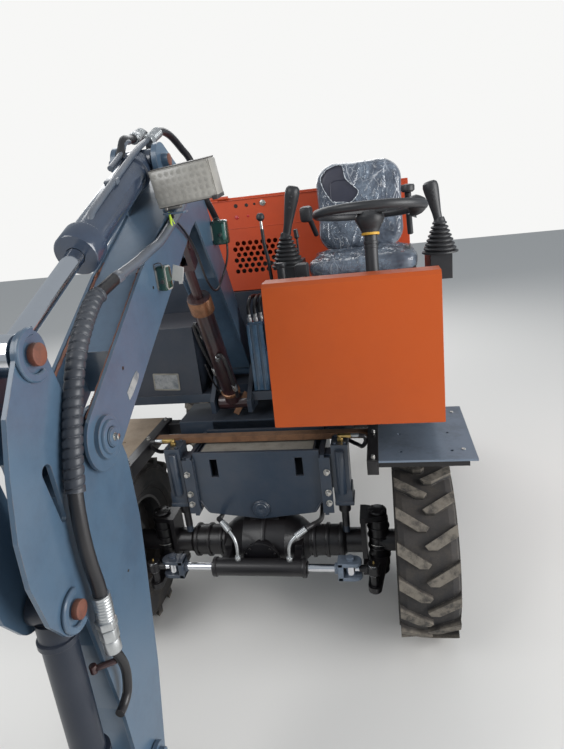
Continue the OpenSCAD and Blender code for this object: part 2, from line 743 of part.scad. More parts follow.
// A cylinder's barrel: eye at its base, tube and gland, bored for its rod
module barrel(base, eye, length, d, rod_d, eye_d, eye_w, pin_d) {
  color(rust_red) difference() {
    union() {
      bar_in_plane(-boom_x, base, eye, d, eye_d * 0.3, length);
      bar_in_plane(-boom_x, base, eye, d + 14, length - 45, length);
      bar_x(-boom_x - eye_w / 2, -boom_x + eye_w / 2, base, eye_d);
    }
    bar_x(-boom_x - 90, -boom_x + 90, base, pin_d + 2 * pin_play);
    bar_in_plane(-boom_x, base, eye, rod_d + 2 * pin_play, eye_d, length + 1);
  }
}
module rod(base, eye, inside, d, eye_d, eye_w) {
  color(chrome) difference() {
    union() {
      bar_in_plane(-boom_x, base, eye, d, inside, dist(base, eye) - eye_d * 0.3);
      bar_x(-boom_x - eye_w / 2, -boom_x + eye_w / 2, eye, eye_d);
    }
    bar_x(-boom_x - 90, -boom_x + 90, eye, eye_d * 0.5);
  }
}
boom_barrel_l = 590;
arm_barrel_l = 510;
bucket_barrel_l = 440;
boom_rod_d = 36;
arm_rod_d = 42;
bucket_rod_d = 36;
module boom_barrel() {
  barrel(boom_cyl_base, boom_cyl_eye, boom_barrel_l, 74, boom_rod_d, 66, 130, 36);
}
// Its rod ends in a fork over the boom's middle lug
module boom_rod() {
  fork_w = 66;
  color(chrome) union() {
    bar_in_plane(-boom_x, boom_cyl_base, boom_cyl_eye, boom_rod_d, 200, dist(boom_cyl_base, boom_cyl_eye) - 80);
    difference() {
      translate([-boom_x, boom_cyl_base[0], boom_cyl_base[1]])
        rotate([angle_of(boom_cyl_base, boom_cyl_eye) - 90, 0, 0])
          translate([-fork_w / 2, -27, dist(boom_cyl_base, boom_cyl_eye) - 90]) cube([fork_w, 54, 117]);
      slab(-boom_x, 20 + 2 * side_gap) disc_at(boom_cyl_eye, 72);
    }
    pin_ends(fork_w / 2, 10 + side_gap + 2, boom_cyl_eye, 36);
  }
}
module arm_barrel() {
  barrel(arm_cyl_base, arm_cyl_eye, arm_barrel_l, 86, arm_rod_d, 72, 90, 36);
}
module arm_rod() {
  rod(arm_cyl_base, arm_cyl_eye, 322, arm_rod_d, 80, 60);
}
module bucket_barrel() {
  barrel(bucket_cyl_base, rocker_end, bucket_barrel_l, 72, bucket_rod_d, 66, 70, 36);
}
module bucket_rod() {
  rod(bucket_cyl_base, rocker_end, 200, bucket_rod_d, 60, 50);
}

arm_plate = 10;
module arm_side() {
  difference() {
    union() {
      disc_at(arm_cyl_eye, 46);
      disc_at(bucket_cyl_base, 50);
      disc_at(boom_tip, 72);
      disc_at(bucket_pivot, 52);
      polygon([[-1192, 1583], [-1254, 1500], [-1284, 1404], [-1309, 1295], [-1313, 1206], [-1294, 1106],
               [-1262, 1056], [-1190, 1050], [-1176, 936], [-1152, 727], [-1147, 585], [-1126, 470], [-1134, 400],
               [-1050, 340], [-1024, 463], [-964, 688], [-914, 962], [-895, 1082], [-894, 1249],
               [-932, 1370], [-1045, 1403], [-1080, 1474], [-1104, 1562]]);
    }
    taper([-1190, 1366], 15, [-1178, 1262], 9);
  }
}
// The arm's closed box between its side plates
module arm_box() {
  polygon([[-1150, 1290], [-1160, 1040], [-1166, 936], [-1142, 727], [-1137, 585], [-1116, 470], [-1124, 400], [-1062, 345],
           [-1034, 463], [-974, 688], [-924, 962], [-905, 1082], [-904, 1245], [-960, 1300]]);
  disc_at(boom_tip, 60);
  disc_at(bucket_pivot, 44);
}
module arm_body() {
  inner = arm_w - 2 * arm_plate;
  color(boom_blue) difference() {
    union() {
      for (side = [LEFT, RIGHT]) slab(-boom_x + side * (arm_w - arm_plate) / 2, arm_plate) arm_side();
      slab(-boom_x, inner + 1) arm_box();
      bar_x(-boom_x - arm_w / 2 - 7, -boom_x + arm_w / 2 + 7, boom_tip, 100);
    }
    bar_x(-boom_x - 200, -boom_x + 200, boom_tip, 44 + 2 * pin_play);
    bar_x(-boom_x - 200, -boom_x + 200, arm_cyl_eye, 40);
    bar_x(-boom_x - 200, -boom_x + 200, bucket_cyl_base, 36);
    bar_x(-boom_x - 200, -boom_x + 200, bucket_pivot, 36);
    bar_x(-boom_x - 200, -boom_x + 200, rocker_pivot, 32);
    slab(-boom_x, inner) disc_at(bucket_cyl_base, 54);
  }
  color(rust_red) {
    pin_ends(arm_w / 2 + 10, arm_w / 2 - arm_plate, arm_cyl_eye, 40);
    pin_ends(arm_w / 2 + 10, -1, bucket_cyl_base, 36);
    pin_ends(arm_w / 2 + 26, -1, bucket_pivot, 36);
    pin_ends(arm_w / 2 + 20, -1, rocker_pivot, 32);
  }
}

// Two rocker plates outside the arm, joined by pins at the cylinder's rod end
module rocker() {
  color(boom_blue) difference() {
    union() {
      for (side = [LEFT, RIGHT])
        slab(-boom_x + side * (arm_w / 2 + side_gap + 6), 12) taper(rocker_pivot, 30, rocker_end, 30);
      bar_x(-boom_x - arm_w / 2 - 10, -boom_x - 28, rocker_end, 30);
      bar_x(-boom_x + 28, -boom_x + arm_w / 2 + 10, rocker_end, 30);
    }
    bar_x(-boom_x - 200, -boom_x + 200, rocker_pivot, 32 + 2 * pin_play);
  }
}
module tipping_link() {
  color(boom_blue) difference() {
    for (side = [LEFT, RIGHT])
      slab(-boom_x + side * 37, 12) taper(rocker_end, 26, link_end, 26);
    bar_x(-boom_x - 200, -boom_x + 200, rocker_end, 30 + 2 * pin_play);
    bar_x(-boom_x - 200, -boom_x + 200, link_end, 28);
  }
}

// Bucket: curved shell, two cheeks, cutting edge with teeth and two ears
bucket_tip = [-680, 150];
ear_in = arm_w / 2 + side_gap;
// The shell is drawn level and curled in to where it hangs
bucket_curl = -20;
function curled(p) = bucket_pivot + turned(p - bucket_pivot, bucket_curl) * 0.93;
module bucket_outline() {
  polygon([for (p = [[-1168, 286], [-1185, 210], [-1174, 160], [-1145, 105], [-1100, 62], [-1050, 42], [-1000, 36], [-900, 50],
                     [-760, 100], bucket_tip, [-990, 274], [-1050, 284]]) curled(p)]);
}
module bucket_inside() {
  polygon([for (p = [[-1152, 285], [-1173, 210], [-1163, 166], [-1137, 114], [-1095, 74], [-1048, 55], [-1000, 48], [-903, 62],
                     [-764, 112], bucket_tip + [40, 60], [-700, 600], [-1000, 600], [-1060, 310]]) curled(p)]);
}
module bucket_shell() {
  wall = 10;
  color(frame_blue) difference() {
    union() {
      difference() {
        slab(-boom_x, bucket_w) bucket_outline();
        slab(-boom_x, bucket_w - 2 * wall) bucket_inside();
      }
      for (side = [LEFT, RIGHT]) slab(-boom_x + side * (ear_in + 8), 16) {
        taper(bucket_pivot, 40, [-1150, 272], 28);
        taper(link_end, 34, [-1178, 272], 22);
        polygon([bucket_pivot, link_end, [-1178, 272], [-1150, 272]]);
      }
      slab(-boom_x, 2 * ear_in + 20)
        polygon([for (p = [[-1165, 290], [-1182, 212], [-1170, 200], [-1148, 285]]) curled(p)]);
      for (i = [-1.5, -0.5, 0.5, 1.5]) bucket_tooth(-boom_x + i * 108);
    }
    bar_x(-boom_x - 200, -boom_x + 200, bucket_pivot, 36 + 2 * pin_play);
    bar_x(-boom_x - 200, -boom_x + 200, link_end, 28);
  }
  color(rust_red) {
    bar_x(-boom_x - ear_in - 20, -boom_x - ear_in, link_end, 28);
    bar_x(-boom_x + ear_in, -boom_x + ear_in + 20, link_end, 28);
  }
}
// Wedge with a socket round the cutting edge
module bucket_tooth(x) {
  foot = curled(bucket_tip - [70, 52]);
  slab(x, 40) polygon([foot, foot + [92, 8], foot + [128, 26], foot + [64, 42], foot + [4, 24]]);
}

// Tube swept along points [x, y, z] that lie close to one upright plane
module swept_tube(points, d, sides = 10) {
  n = len(points);
  ring = [for (i = [0:n - 1])
    let (before = points[max(i - 1, 0)], after = points[min(i + 1, n - 1)],
         ahead = (after - before) / norm(after - before),
         out = cross(ahead, cross([1, 0, 0], ahead)) / norm(cross([1, 0, 0], ahead)),
         up = cross(ahead, out))
    for (k = [0:sides - 1]) points[i] + d / 2 * (cos(k * 360 / sides) * out + sin(k * 360 / sides) * up)];
  walls = [for (i = [0:n - 2], k = [0:sides - 1])
    [i * sides + k, i * sides + (k + 1) % sides, (i + 1) * sides + (k + 1) % sides, (i + 1) * sides + k]];
  start_cap = [[for (k = [0:sides - 1]) sides - 1 - k]];
  end_cap = [[for (k = [0:sides - 1]) (n - 1) * sides + k]];
  polyhedron(ring, concat(walls, start_cap, end_cap), convexity = 4);
}

// Steel pipe along the boom's top, hose over the arm's pivot and pipe on the bucket cylinder
pipe_x = -52;
boom_pipe_route = [[-50, -215, 1862], [-50, -349, 1788], [-50, -514, 1708], [-52, -600, 1690], [-60, -688, 1677], [-76, -790, 1648]];
arm_hose_route = [[-76, -791, 1648], [-88, -893, 1608], [-82, -955, 1556], [-71, -1036, 1491], [-65, -1093, 1428],
                  [-60, -1135, 1362], [-58, -1158, 1300], [-57, -1172, 1229], [-56, -1173, 1160], [-55, -1168, 1093],
                  [-53, -1172, 1045], [-52, -1176, 1002]];
module boom_pipe() {
  color(boom_blue) swept_tube(boom_pipe_route, 26);
}
module arm_hose() {
  color(rubber) swept_tube(arm_hose_route, 30);
}
module cylinder_pipe() {
  color(axle_black) difference() {
    union() {
      translate([pipe_x, -1176, 940]) cylinder(h = 60, d = 34);
      translate([pipe_x, -1176, 720]) cylinder(h = 221, d = 20);
      translate([-boom_x + 34, -1186, 880]) rotate([0, 90, 0]) cylinder(h = pipe_x + boom_x - 34, d = 18);
    }
  }
}

// Assembly

module place() {
  translate([0, -mid_y, 0]) children();
}

place() {
  chassis_frame();
  front_bracket();
  slew_ring();
  front_axle();
  rear_axle();
  drive_line();
  mudguard(LEFT);  // mudguard_left
  mudguard(RIGHT);  // mudguard_right
  guard_frames();
  cross_bar();
  steer_cylinder();
  axle_lock_cylinders();
  knuckle(LEFT);  // knuckle_left
  knuckle(RIGHT);  // knuckle_right
  steer_rod();
  tyre(LEFT, 0);  // tyre_front_left
  rim(LEFT, 0);  // rim_front_left
  tyre(RIGHT, 0);  // tyre_front_right
  rim(RIGHT, 0);  // rim_front_right
  tyre(LEFT, wheelbase);  // tyre_rear_left
  rim(LEFT, wheelbase);  // rim_rear_left
  tyre(RIGHT, wheelbase);  // tyre_rear_right
  rim(RIGHT, wheelbase);  // rim_rear_right
  upper_frame();
  counterweight();
  engine_block();
  hood_panels();
  hood_cover();
  front_tank();
  rear_tank();
  bulkhead();
  valve_stand();
  operator_floor();
  console();
  steering_column();
  steering_wheel();
  seat_base();
  seat_cushion();
  seat_back();
  control_pods();
  joysticks();
  boom_body();
  lamps();
  boom_barrel();
  boom_rod();
  arm_barrel();
  arm_rod();
  arm_body();
  bucket_barrel();
  bucket_rod();
  rocker();
  tipping_link();
  bucket_shell();
  boom_pipe();
  arm_hose();
  cylinder_pipe();
}
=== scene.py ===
"""Small wheeled excavator with a backhoe boom: its finishes, its fine pieces, the light and the camera.

Places are written as on the machine's drawing, in millimetres from the ground under the middle of the
front axle, with +X to the operator's left, -Y to the front and +Z up. The function at() turns them into
the scene's metres.
"""

import json
import logging
from dataclasses import dataclass, replace
from enum import Enum
from math import atan2, cos, exp, pi, radians, sin, sqrt
from typing import Callable, Iterable, Optional, Sequence, Union

import bmesh
import bpy
from mathutils import Matrix, Vector, noise

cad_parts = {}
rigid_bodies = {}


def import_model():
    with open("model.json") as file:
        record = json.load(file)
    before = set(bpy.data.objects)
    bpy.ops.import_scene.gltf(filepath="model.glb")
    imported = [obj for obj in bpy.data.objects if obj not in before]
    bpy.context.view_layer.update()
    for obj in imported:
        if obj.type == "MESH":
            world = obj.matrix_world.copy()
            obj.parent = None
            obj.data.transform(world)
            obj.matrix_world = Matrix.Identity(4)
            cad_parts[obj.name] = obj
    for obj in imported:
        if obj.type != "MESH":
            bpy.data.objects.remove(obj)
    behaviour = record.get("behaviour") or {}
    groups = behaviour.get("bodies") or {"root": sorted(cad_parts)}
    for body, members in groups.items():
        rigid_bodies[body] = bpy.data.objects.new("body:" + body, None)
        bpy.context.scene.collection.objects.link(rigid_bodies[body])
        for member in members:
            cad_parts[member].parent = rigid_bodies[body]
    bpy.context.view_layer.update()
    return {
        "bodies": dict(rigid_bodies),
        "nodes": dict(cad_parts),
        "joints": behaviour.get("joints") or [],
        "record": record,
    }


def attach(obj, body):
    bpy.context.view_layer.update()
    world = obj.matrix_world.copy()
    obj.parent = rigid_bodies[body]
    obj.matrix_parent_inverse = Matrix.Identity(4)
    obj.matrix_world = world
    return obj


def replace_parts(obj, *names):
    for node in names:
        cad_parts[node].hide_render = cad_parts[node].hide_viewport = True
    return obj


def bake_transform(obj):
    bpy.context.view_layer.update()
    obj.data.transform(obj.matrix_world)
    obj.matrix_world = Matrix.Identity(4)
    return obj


log = logging.getLogger("wheeled_excavator")

Colour = tuple[float, float, float]
Place = tuple[float, float, float]
Spot = Union[Place, Vector]
Point = tuple[float, float]
Outline = Sequence[Point]
Relief = Callable[[float, float, int], float]

# Places and sizes are in millimetres, and angles in degrees.
DRAWING_MID_Y = 276.5
AXLE_Z = 371.0
REAR_AXLE_Y = 1500.0
BOOM_X = -135.0
ARM_PIN = (-1000, 1347)
ARM_CYLINDER_BASE = (-365, 1930)
ARM_CYLINDER_EYE = (-1146, 1580)
BUCKET_CYLINDER_BASE = (-1219, 1081)
WHITE = (1, 1, 1, 1)
FILM_GLINT = (0.92, 0.95, 1.0)
UP = Vector((0, 0, 1))
FORWARD = Vector((0, -1, 0))
SOFT_ANGLE = 38.0
BEVEL_ANGLE = 35.0
WASHER_THICKNESS = 2.5
HEXAGON_CORNERS = 1.155


class Side(Enum):
    """The machine's two sides, as the operator sits."""

    LEFT = 1
    RIGHT = -1


class Body(str, Enum):
    """The moving bodies that fine pieces ride on."""

    UNDERCARRIAGE = "undercarriage"
    KNUCKLE_LEFT = "knuckle_left"
    KNUCKLE_RIGHT = "knuckle_right"
    STEER_ROD = "steer_rod"
    WHEEL_FRONT_LEFT = "wheel_front_left"
    WHEEL_FRONT_RIGHT = "wheel_front_right"
    WHEEL_REAR_LEFT = "wheel_rear_left"
    WHEEL_REAR_RIGHT = "wheel_rear_right"
    UPPER = "upper"
    HOOD = "hood"
    STEERING_WHEEL = "steering_wheel"
    BOOM = "boom"
    BOOM_BARREL = "boom_barrel"
    ARM_BARREL = "arm_barrel"
    ARM = "arm"
    BUCKET_BARREL = "bucket_barrel"
    BUCKET = "bucket"


def at(x: float, y: float, z: float) -> Vector:
    """Turn a place on the drawing into a place in the scene.

    Args:
        x: Millimetres to the operator's left.
        y: Millimetres behind the front axle.
        z: Millimetres above the ground.

    Returns:
        The place in metres.
    """
    return Vector((x / 1000, (y - DRAWING_MID_Y) / 1000, z / 1000))


def placed(where: Spot) -> Vector:
    """Place in the scene, of a tuple on the drawing or of a vector that is in the scene already."""
    return where if isinstance(where, Vector) else at(*where)


def frame_to(axis: Vector) -> Matrix:
    """Turn whose Z runs along the axis, as a 4 by 4 matrix."""
    return axis.to_track_quat("Z", "Y").to_matrix().to_4x4()


class NodeBench:
    """Short ways to place and join shader nodes in one tree."""

    def __init__(self, tree: bpy.types.NodeTree) -> None:
        """Start work on a node tree."""
        self.tree = tree

    def join(self, source: object, target: bpy.types.NodeSocket) -> None:
        """Feed an input.

        Args:
            source: A socket to link to it, or its plain value.
            target: The input.
        """
        if isinstance(source, bpy.types.NodeSocket):
            self.tree.links.new(source, target)
        else:
            target.default_value = source

    def node(self, kind: str, **settings: object) -> bpy.types.Node:
        """Add a node.

        Args:
            kind: Blender's name of the node type.
            settings: Attributes of the node, or values or sockets for its inputs, by name with _ for a space.

        Returns:
            The new node.
        """
        made = self.tree.nodes.new(kind)
        for key, value in settings.items():
            if hasattr(made, key):
                setattr(made, key, value)
            else:
                self.join(value, made.inputs[key.replace("_", " ")])
        return made

    def maths(self, operation: str, first: object, second: object = 0.0, clamp: bool = False) -> bpy.types.NodeSocket:
        """Add a maths node on two values, each a number or a socket.

        Args:
            operation: Blender's name of the operation.
            first: First value.
            second: Second value.
            clamp: Whether the result is held between 0 and 1.

        Returns:
            The result's socket.
        """
        made = self.node("ShaderNodeMath", operation=operation, use_clamp=clamp)
        for slot, value in zip(made.inputs, (first, second)):
            self.join(value, slot)
        return made.outputs[0]

    def mix(self, mask: object, low: object, high: object) -> bpy.types.NodeSocket:
        """Mix two colours.

        Args:
            mask: How far the mix goes from the first to the second.
            low: First colour.
            high: Second colour.

        Returns:
            The mixed colour's socket.
        """
        made = self.node("ShaderNodeMix", data_type="RGBA")
        for slot, value in ((0, mask), (6, low), (7, high)):
            self.join(value, made.inputs[slot])
        return made.outputs[2]

    def ramp(self, value: bpy.types.NodeSocket, low: float, high: float) -> bpy.types.NodeSocket:
        """Stretch a value so that low becomes 0 and high becomes 1, and return the result."""
        return self.node("ShaderNodeMapRange", clamp=True, interpolation_type="SMOOTHSTEP", Value=value,
                         From_Min=low, From_Max=high).outputs["Result"]

    def place(self) -> bpy.types.NodeSocket:
        """Coordinates that stay with the piece, in metres."""
        return self.node("ShaderNodeTexCoord").outputs["Object"]

    def clouds(self, scale: object, detail: float, roughness: float = 0.5, output: str = "Fac") -> bpy.types.NodeSocket:
        """Add a noise texture that stays with the piece.

        Args:
            scale: Its scale, a number or a socket.
            detail: Its layers of detail.
            roughness: Share of the finer layers.
            output: The output that is wanted.

        Returns:
            That output's socket.
        """
        return self.node("ShaderNodeTexNoise", Vector=self.place(), Scale=scale, Detail=detail,
                         Roughness=roughness).outputs[output]

    def layer(self, effect: bpy.types.NodeTree, ground: object, second: Colour, amount: float,
              **more: float) -> bpy.types.Node:
        """Lay one shared effect over a colour.

        Args:
            effect: The effect's node group.
            ground: The colour under it.
            second: Colour that the effect brings.
            amount: How strongly it shows.
            more: Values of the group's other inputs.

        Returns:
            The group's node.
        """
        return self.node("ShaderNodeGroup", node_tree=effect, Color=ground, Second_Color=(*second, 1), Amount=amount,
                         **more)


class GroupBench(NodeBench):
    """A bench on a new shader node group."""

    def __init__(self, name: str, outputs: Sequence[str], **inputs: object) -> None:
        """Open the group.

        Args:
            name: Name of the group.
            outputs: Names of its outputs; Color is a colour, Normal a vector, and any other a number.
            inputs: Default of each input, a colour or a number, by name with _ for a space.
        """
        super().__init__(bpy.data.node_groups.new(name, "ShaderNodeTree"))
        sockets = self.tree.interface
        for label, value in inputs.items():
            kind = "Color" if isinstance(value, tuple) else "Float"
            made = sockets.new_socket(name=label.replace("_", " "), in_out="INPUT", socket_type=f"NodeSocket{kind}")
            made.default_value = value
        for label in outputs:
            kind = {"Color": "Color", "Normal": "Vector"}.get(label, "Float")
            sockets.new_socket(name=label, in_out="OUTPUT", socket_type=f"NodeSocket{kind}")
        self.source = self.node("NodeGroupInput").outputs
        self.sink = self.node("NodeGroupOutput").inputs

    def paint(self, shown: bpy.types.NodeSocket) -> bpy.types.NodeSocket:
        """Put the group's second colour over its first, by its amount.

        Args:
            shown: Where the second colour shows, from 0 to 1.

        Returns:
            The mask, with the amount in it.
        """
        mask = self.maths("MULTIPLY", shown, self.source["Amount"], clamp=True)
        self.join(self.mix(mask, self.source["Color"], self.source["Second Color"]), self.sink["Color"])
        return mask


class Effects:
    """Shader node groups that several finishes share, each built once."""

    def __init__(self) -> None:
        """Build every group."""
        self.mottle = self.build_mottle()
        self.dust = self.build_dust()
        self.edge = self.build_edge()
        self.grain = self.build_grain()
        self.crease_glints = self.build_crease_glints()
        self.tread = self.build_tread()

    def build_mottle(self) -> bpy.types.NodeTree:
        """Uneven colour from broad clouds and fine specks.

        Returns:
            The group.
        """
        bench = GroupBench("mottle", ["Color"], Color=WHITE, Second_Color=WHITE, Scale=4.0, Amount=0.3)
        scale = bench.source["Scale"]
        broad = bench.maths("MULTIPLY", bench.clouds(scale, 6.0, 0.6), 0.7)
        fine = bench.maths("MULTIPLY", bench.clouds(bench.maths("MULTIPLY", scale, 9.0), 3.0, 0.7), 0.3)
        bench.paint(bench.ramp(bench.maths("ADD", broad, fine), 0.42, 0.66))
        return bench.tree

    def build_dust(self) -> bpy.types.NodeTree:
        """Dust that lies on faces that look up and in patches.

        Returns:
            The group.
        """
        bench = GroupBench("settled_dust", ["Color", "Roughness"], Color=WHITE, Second_Color=WHITE, Amount=0.3,
                           Roughness=0.4, Scale=12.0)
        parts = bench.node("ShaderNodeSeparateXYZ", Vector=bench.node("ShaderNodeNewGeometry").outputs["Normal"])
        upward = bench.maths("MULTIPLY", bench.ramp(parts.outputs["Z"], -0.4, 1.0), 0.75)
        cloud = bench.maths("MULTIPLY", bench.ramp(bench.clouds(bench.source["Scale"], 8.0, 0.65), 0.35, 0.7), 0.35)
        mask = bench.paint(bench.maths("ADD", upward, cloud))
        rough = bench.maths("ADD", bench.source["Roughness"], bench.maths("MULTIPLY", mask, 0.45), clamp=True)
        bench.join(rough, bench.sink["Roughness"])
        return bench.tree

    def build_edge(self) -> bpy.types.NodeTree:
        """Soft edges, with paint rubbed off along them in broken lines; on the clear film and the spiral guard the same
        mask paints highlights along edges, folds and coils.

        Returns:
            The group.
        """
        bench = GroupBench("worn_and_glinting_edge", ["Color", "Normal"], Color=WHITE, Second_Color=WHITE, Amount=0.5)
        soft = bench.node("ShaderNodeBevel", samples=4, Radius=0.0035)
        round_edge = bench.node("ShaderNodeBevel", samples=4, Radius=0.0018)
        dot = bench.node("ShaderNodeVectorMath", operation="DOT_PRODUCT")
        bench.join(bench.node("ShaderNodeNewGeometry").outputs["Normal"], dot.inputs[0])
        bench.join(soft.outputs["Normal"], dot.inputs[1])
        bend = bench.ramp(bench.maths("SUBTRACT", 1.0, dot.outputs["Value"]), 0.01, 0.2)
        bench.paint(bench.maths("MULTIPLY", bend, bench.ramp(bench.clouds(38.0, 5.0, 0.7), 0.42, 0.62)))
        bench.join(round_edge.outputs["Normal"], bench.sink["Normal"])
        return bench.tree

    def build_grain(self) -> bpy.types.NodeTree:
        """Height of a fine surface grain over a broad unevenness.

        Returns:
            The group.
        """
        bench = GroupBench("fine_grain", ["Height"], Scale=300.0, Broad=0.3)
        fine = bench.maths("MULTIPLY", bench.clouds(bench.source["Scale"], 4.0, 0.6), 0.12)
        broad = bench.maths("MULTIPLY", bench.clouds(14.0, 2.0), bench.source["Broad"])
        bench.join(bench.maths("ADD", fine, broad), bench.sink["Height"])
        return bench.tree

    def build_crease_glints(self) -> bpy.types.NodeTree:
        """Painted highlights: thin pale lines where a clear film is folded, in patches.

        Returns:
            The group.
        """
        bench = GroupBench("film_crease_glints", ["Color"], Color=WHITE, Second_Color=WHITE, Amount=1.0)
        moved = bench.node("ShaderNodeVectorMath", operation="MULTIPLY_ADD")
        for slot, value in enumerate((bench.clouds(5.0, 1.0, output="Color"), (0.05, 0.05, 0.03), bench.place())):
            bench.join(value, moved.inputs[slot])
        total = 0.0
        for stretch, width, strength in (((9.0, 13.0, 3.4), 0.022, 1.0), ((26.0, 20.0, 11.0), 0.035, 0.5)):
            drawn = bench.node("ShaderNodeVectorMath", operation="MULTIPLY")
            bench.join(stretch, drawn.inputs[1])
            bench.join(moved.outputs[0], drawn.inputs[0])
            cells = bench.node("ShaderNodeTexVoronoi", feature="DISTANCE_TO_EDGE", Scale=1.0, Vector=drawn.outputs[0])
            line = bench.maths("SUBTRACT", 1.0, bench.ramp(cells.outputs["Distance"], 0.0, width))
            total = bench.maths("ADD", bench.maths("MULTIPLY", line, strength), total, clamp=True)
        bench.paint(bench.maths("MULTIPLY", total, bench.ramp(bench.clouds(13.0, 3.0), 0.40, 0.66)))
        return bench.tree

    def build_tread(self) -> bpy.types.NodeTree:
        """Pale dry dust on the lugs' tops, by the distance from the nearer axle.

        Returns:
            The group.
        """
        bench = GroupBench("tread_dust", ["Color"], Color=WHITE, Second_Color=WHITE, Amount=1.0)
        parts = bench.node("ShaderNodeSeparateXYZ", Vector=bench.place())
        spans = [bench.maths("ABSOLUTE", bench.maths("SUBTRACT", parts.outputs["Y"], at(0, y, 0).y))
                 for y in (0.0, REAR_AXLE_Y)]
        along = bench.maths("MINIMUM", *spans)
        up = bench.maths("SUBTRACT", parts.outputs["Z"], AXLE_Z / 1000)
        squares = bench.maths("ADD", bench.maths("MULTIPLY", along, along), bench.maths("MULTIPLY", up, up))
        lug_top = bench.ramp(bench.maths("SQRT", squares), 0.352, 0.366)
        bench.paint(bench.maths("MULTIPLY", lug_top, bench.ramp(bench.clouds(26.0, 6.0, 0.7), 0.30, 0.62)))
        return bench.tree


@dataclass(frozen=True)
class Finish:
    """One surface finish and how its material is made."""

    name: str
    slot: str
    colour: Colour
    second: Colour
    roughness: float = 0.4
    metallic: float = 0.0
    coat: float = 0.0
    mottle: float = 0.3
    mottle_scale: float = 5.0
    dust: float = 0.2
    dust_colour: Colour = (0.30, 0.23, 0.17)
    edge_wear_and_glint: float = 0.3
    wear_and_glint_colour: Colour = (0.30, 0.28, 0.26)
    grain: float = 0.15
    grain_scale: float = 260.0
    opacity: float = 1.0
    crease_glints: float = 0.0
    tread: float = 0.0

    def material(self, effects: Effects) -> bpy.types.Material:
        """Make the finish's material.

        Args:
            effects: The shared node groups.

        Returns:
            The material.
        """
        made = bpy.data.materials.new(self.name)
        made.use_nodes = True
        made.node_tree.nodes.clear()
        bench = NodeBench(made.node_tree)
        ground = bench.layer(effects.mottle, (*self.colour, 1), self.second, self.mottle,
                             Scale=self.mottle_scale).outputs["Color"]
        # The crease layer paints highlights along the film's folds; the tread layer lays pale dust on the lugs' tops.
        for effect, amount, pale in ((effects.crease_glints, self.crease_glints, FILM_GLINT),
                                     (effects.tread, self.tread, self.wear_and_glint_colour)):
            if amount > 0.0:
                ground = bench.layer(effect, ground, pale, amount).outputs["Color"]
        # The edge layer lays worn paint on most finishes and painted highlights on the film and the spiral guard.
        edge = bench.layer(effects.edge, ground, self.wear_and_glint_colour, self.edge_wear_and_glint)
        dust = bench.layer(effects.dust, edge.outputs["Color"], self.dust_colour, self.dust, Roughness=self.roughness)
        grain = bench.node("ShaderNodeGroup", node_tree=effects.grain, Scale=self.grain_scale)
        bump = bench.node("ShaderNodeBump", Strength=self.grain, Distance=0.002, Height=grain.outputs["Height"],
                          Normal=edge.outputs["Normal"])
        shader = bench.node("ShaderNodeBsdfPrincipled", Base_Color=dust.outputs["Color"], Metallic=self.metallic,
                            Roughness=dust.outputs["Roughness"], Alpha=self.opacity, Normal=bump.outputs["Normal"],
                            Coat_Weight=self.coat, Coat_Roughness=0.12)
        bench.node("ShaderNodeOutputMaterial", Surface=shader.outputs["BSDF"])
        return made


FRAME_PAINT = Finish("frame_blue_grey_paint", "frame_paint", (0.022, 0.038, 0.062), (0.012, 0.021, 0.036),
                     roughness=0.34, coat=0.2, dust=0.10, edge_wear_and_glint=0.3, wear_and_glint_colour=(0.26, 0.20, 0.15))
BOOM_PAINT = Finish("boom_blue_grey_paint", "boom_paint", (0.066, 0.118, 0.180), (0.036, 0.062, 0.104),
                    roughness=0.30, coat=0.3, mottle=0.45, mottle_scale=3.5, dust=0.08, edge_wear_and_glint=0.5,
                    wear_and_glint_colour=(0.24, 0.18, 0.15))
PIPE_PAINT = Finish("pipe_grey_paint", "pipe_paint", (0.085, 0.110, 0.145), (0.045, 0.060, 0.080), roughness=0.30,
                    coat=0.4)
MACHINED_STEEL = Finish("machined_steel", "machined_steel", (0.34, 0.33, 0.32), (0.16, 0.13, 0.10), metallic=0.9,
                        roughness=0.38, dust=0.25)
AXLE_BLACK = Finish("axle_black_paint", "axle_black", (0.003, 0.003, 0.005), (0.012, 0.011, 0.012), roughness=0.38,
                    coat=0.1, dust=0.06, dust_colour=(0.13, 0.10, 0.08), edge_wear_and_glint=0.15, mottle=0.5)
# Its light blue-grey is partly a painted sky reflection on the bare steel.
BARE_PLATE_WITH_SHEEN = Finish("bare_plate_painted_sheen", "bare_plate", (0.19, 0.24, 0.31), (0.12, 0.15, 0.19), metallic=0.35,
                    roughness=0.42, mottle=0.7, mottle_scale=7.0, dust=0.10, edge_wear_and_glint=0.2)
DUSTY_PLATE = Finish("dusty_tan_plate", "dusty_plate", (0.27, 0.21, 0.155), (0.13, 0.085, 0.055), metallic=0.15,
                     roughness=0.6, mottle=0.8, mottle_scale=9.0, dust=0.55, dust_colour=(0.42, 0.33, 0.24))
CHROME = Finish("hard_chrome", "chrome_rod", (0.78, 0.79, 0.82), (0.62, 0.63, 0.66), metallic=1.0, roughness=0.10,
                dust=0.04, edge_wear_and_glint=0.0, grain=0.02, mottle=0.15)
RUST_PAINT = Finish("red_brown_cylinder", "cylinder_rust", (0.040, 0.012, 0.014), (0.012, 0.008, 0.012),
                    roughness=0.28, coat=0.5, mottle=0.9, mottle_scale=9.0, dust=0.06, edge_wear_and_glint=0.35,
                    wear_and_glint_colour=(0.20, 0.085, 0.045))
DARK_GLOSS = Finish("dark_gloss_cylinder", "cylinder_dark", (0.030, 0.048, 0.084), (0.015, 0.024, 0.042),
                    roughness=0.20, coat=0.8, dust=0.06, edge_wear_and_glint=0.15, mottle=0.4)
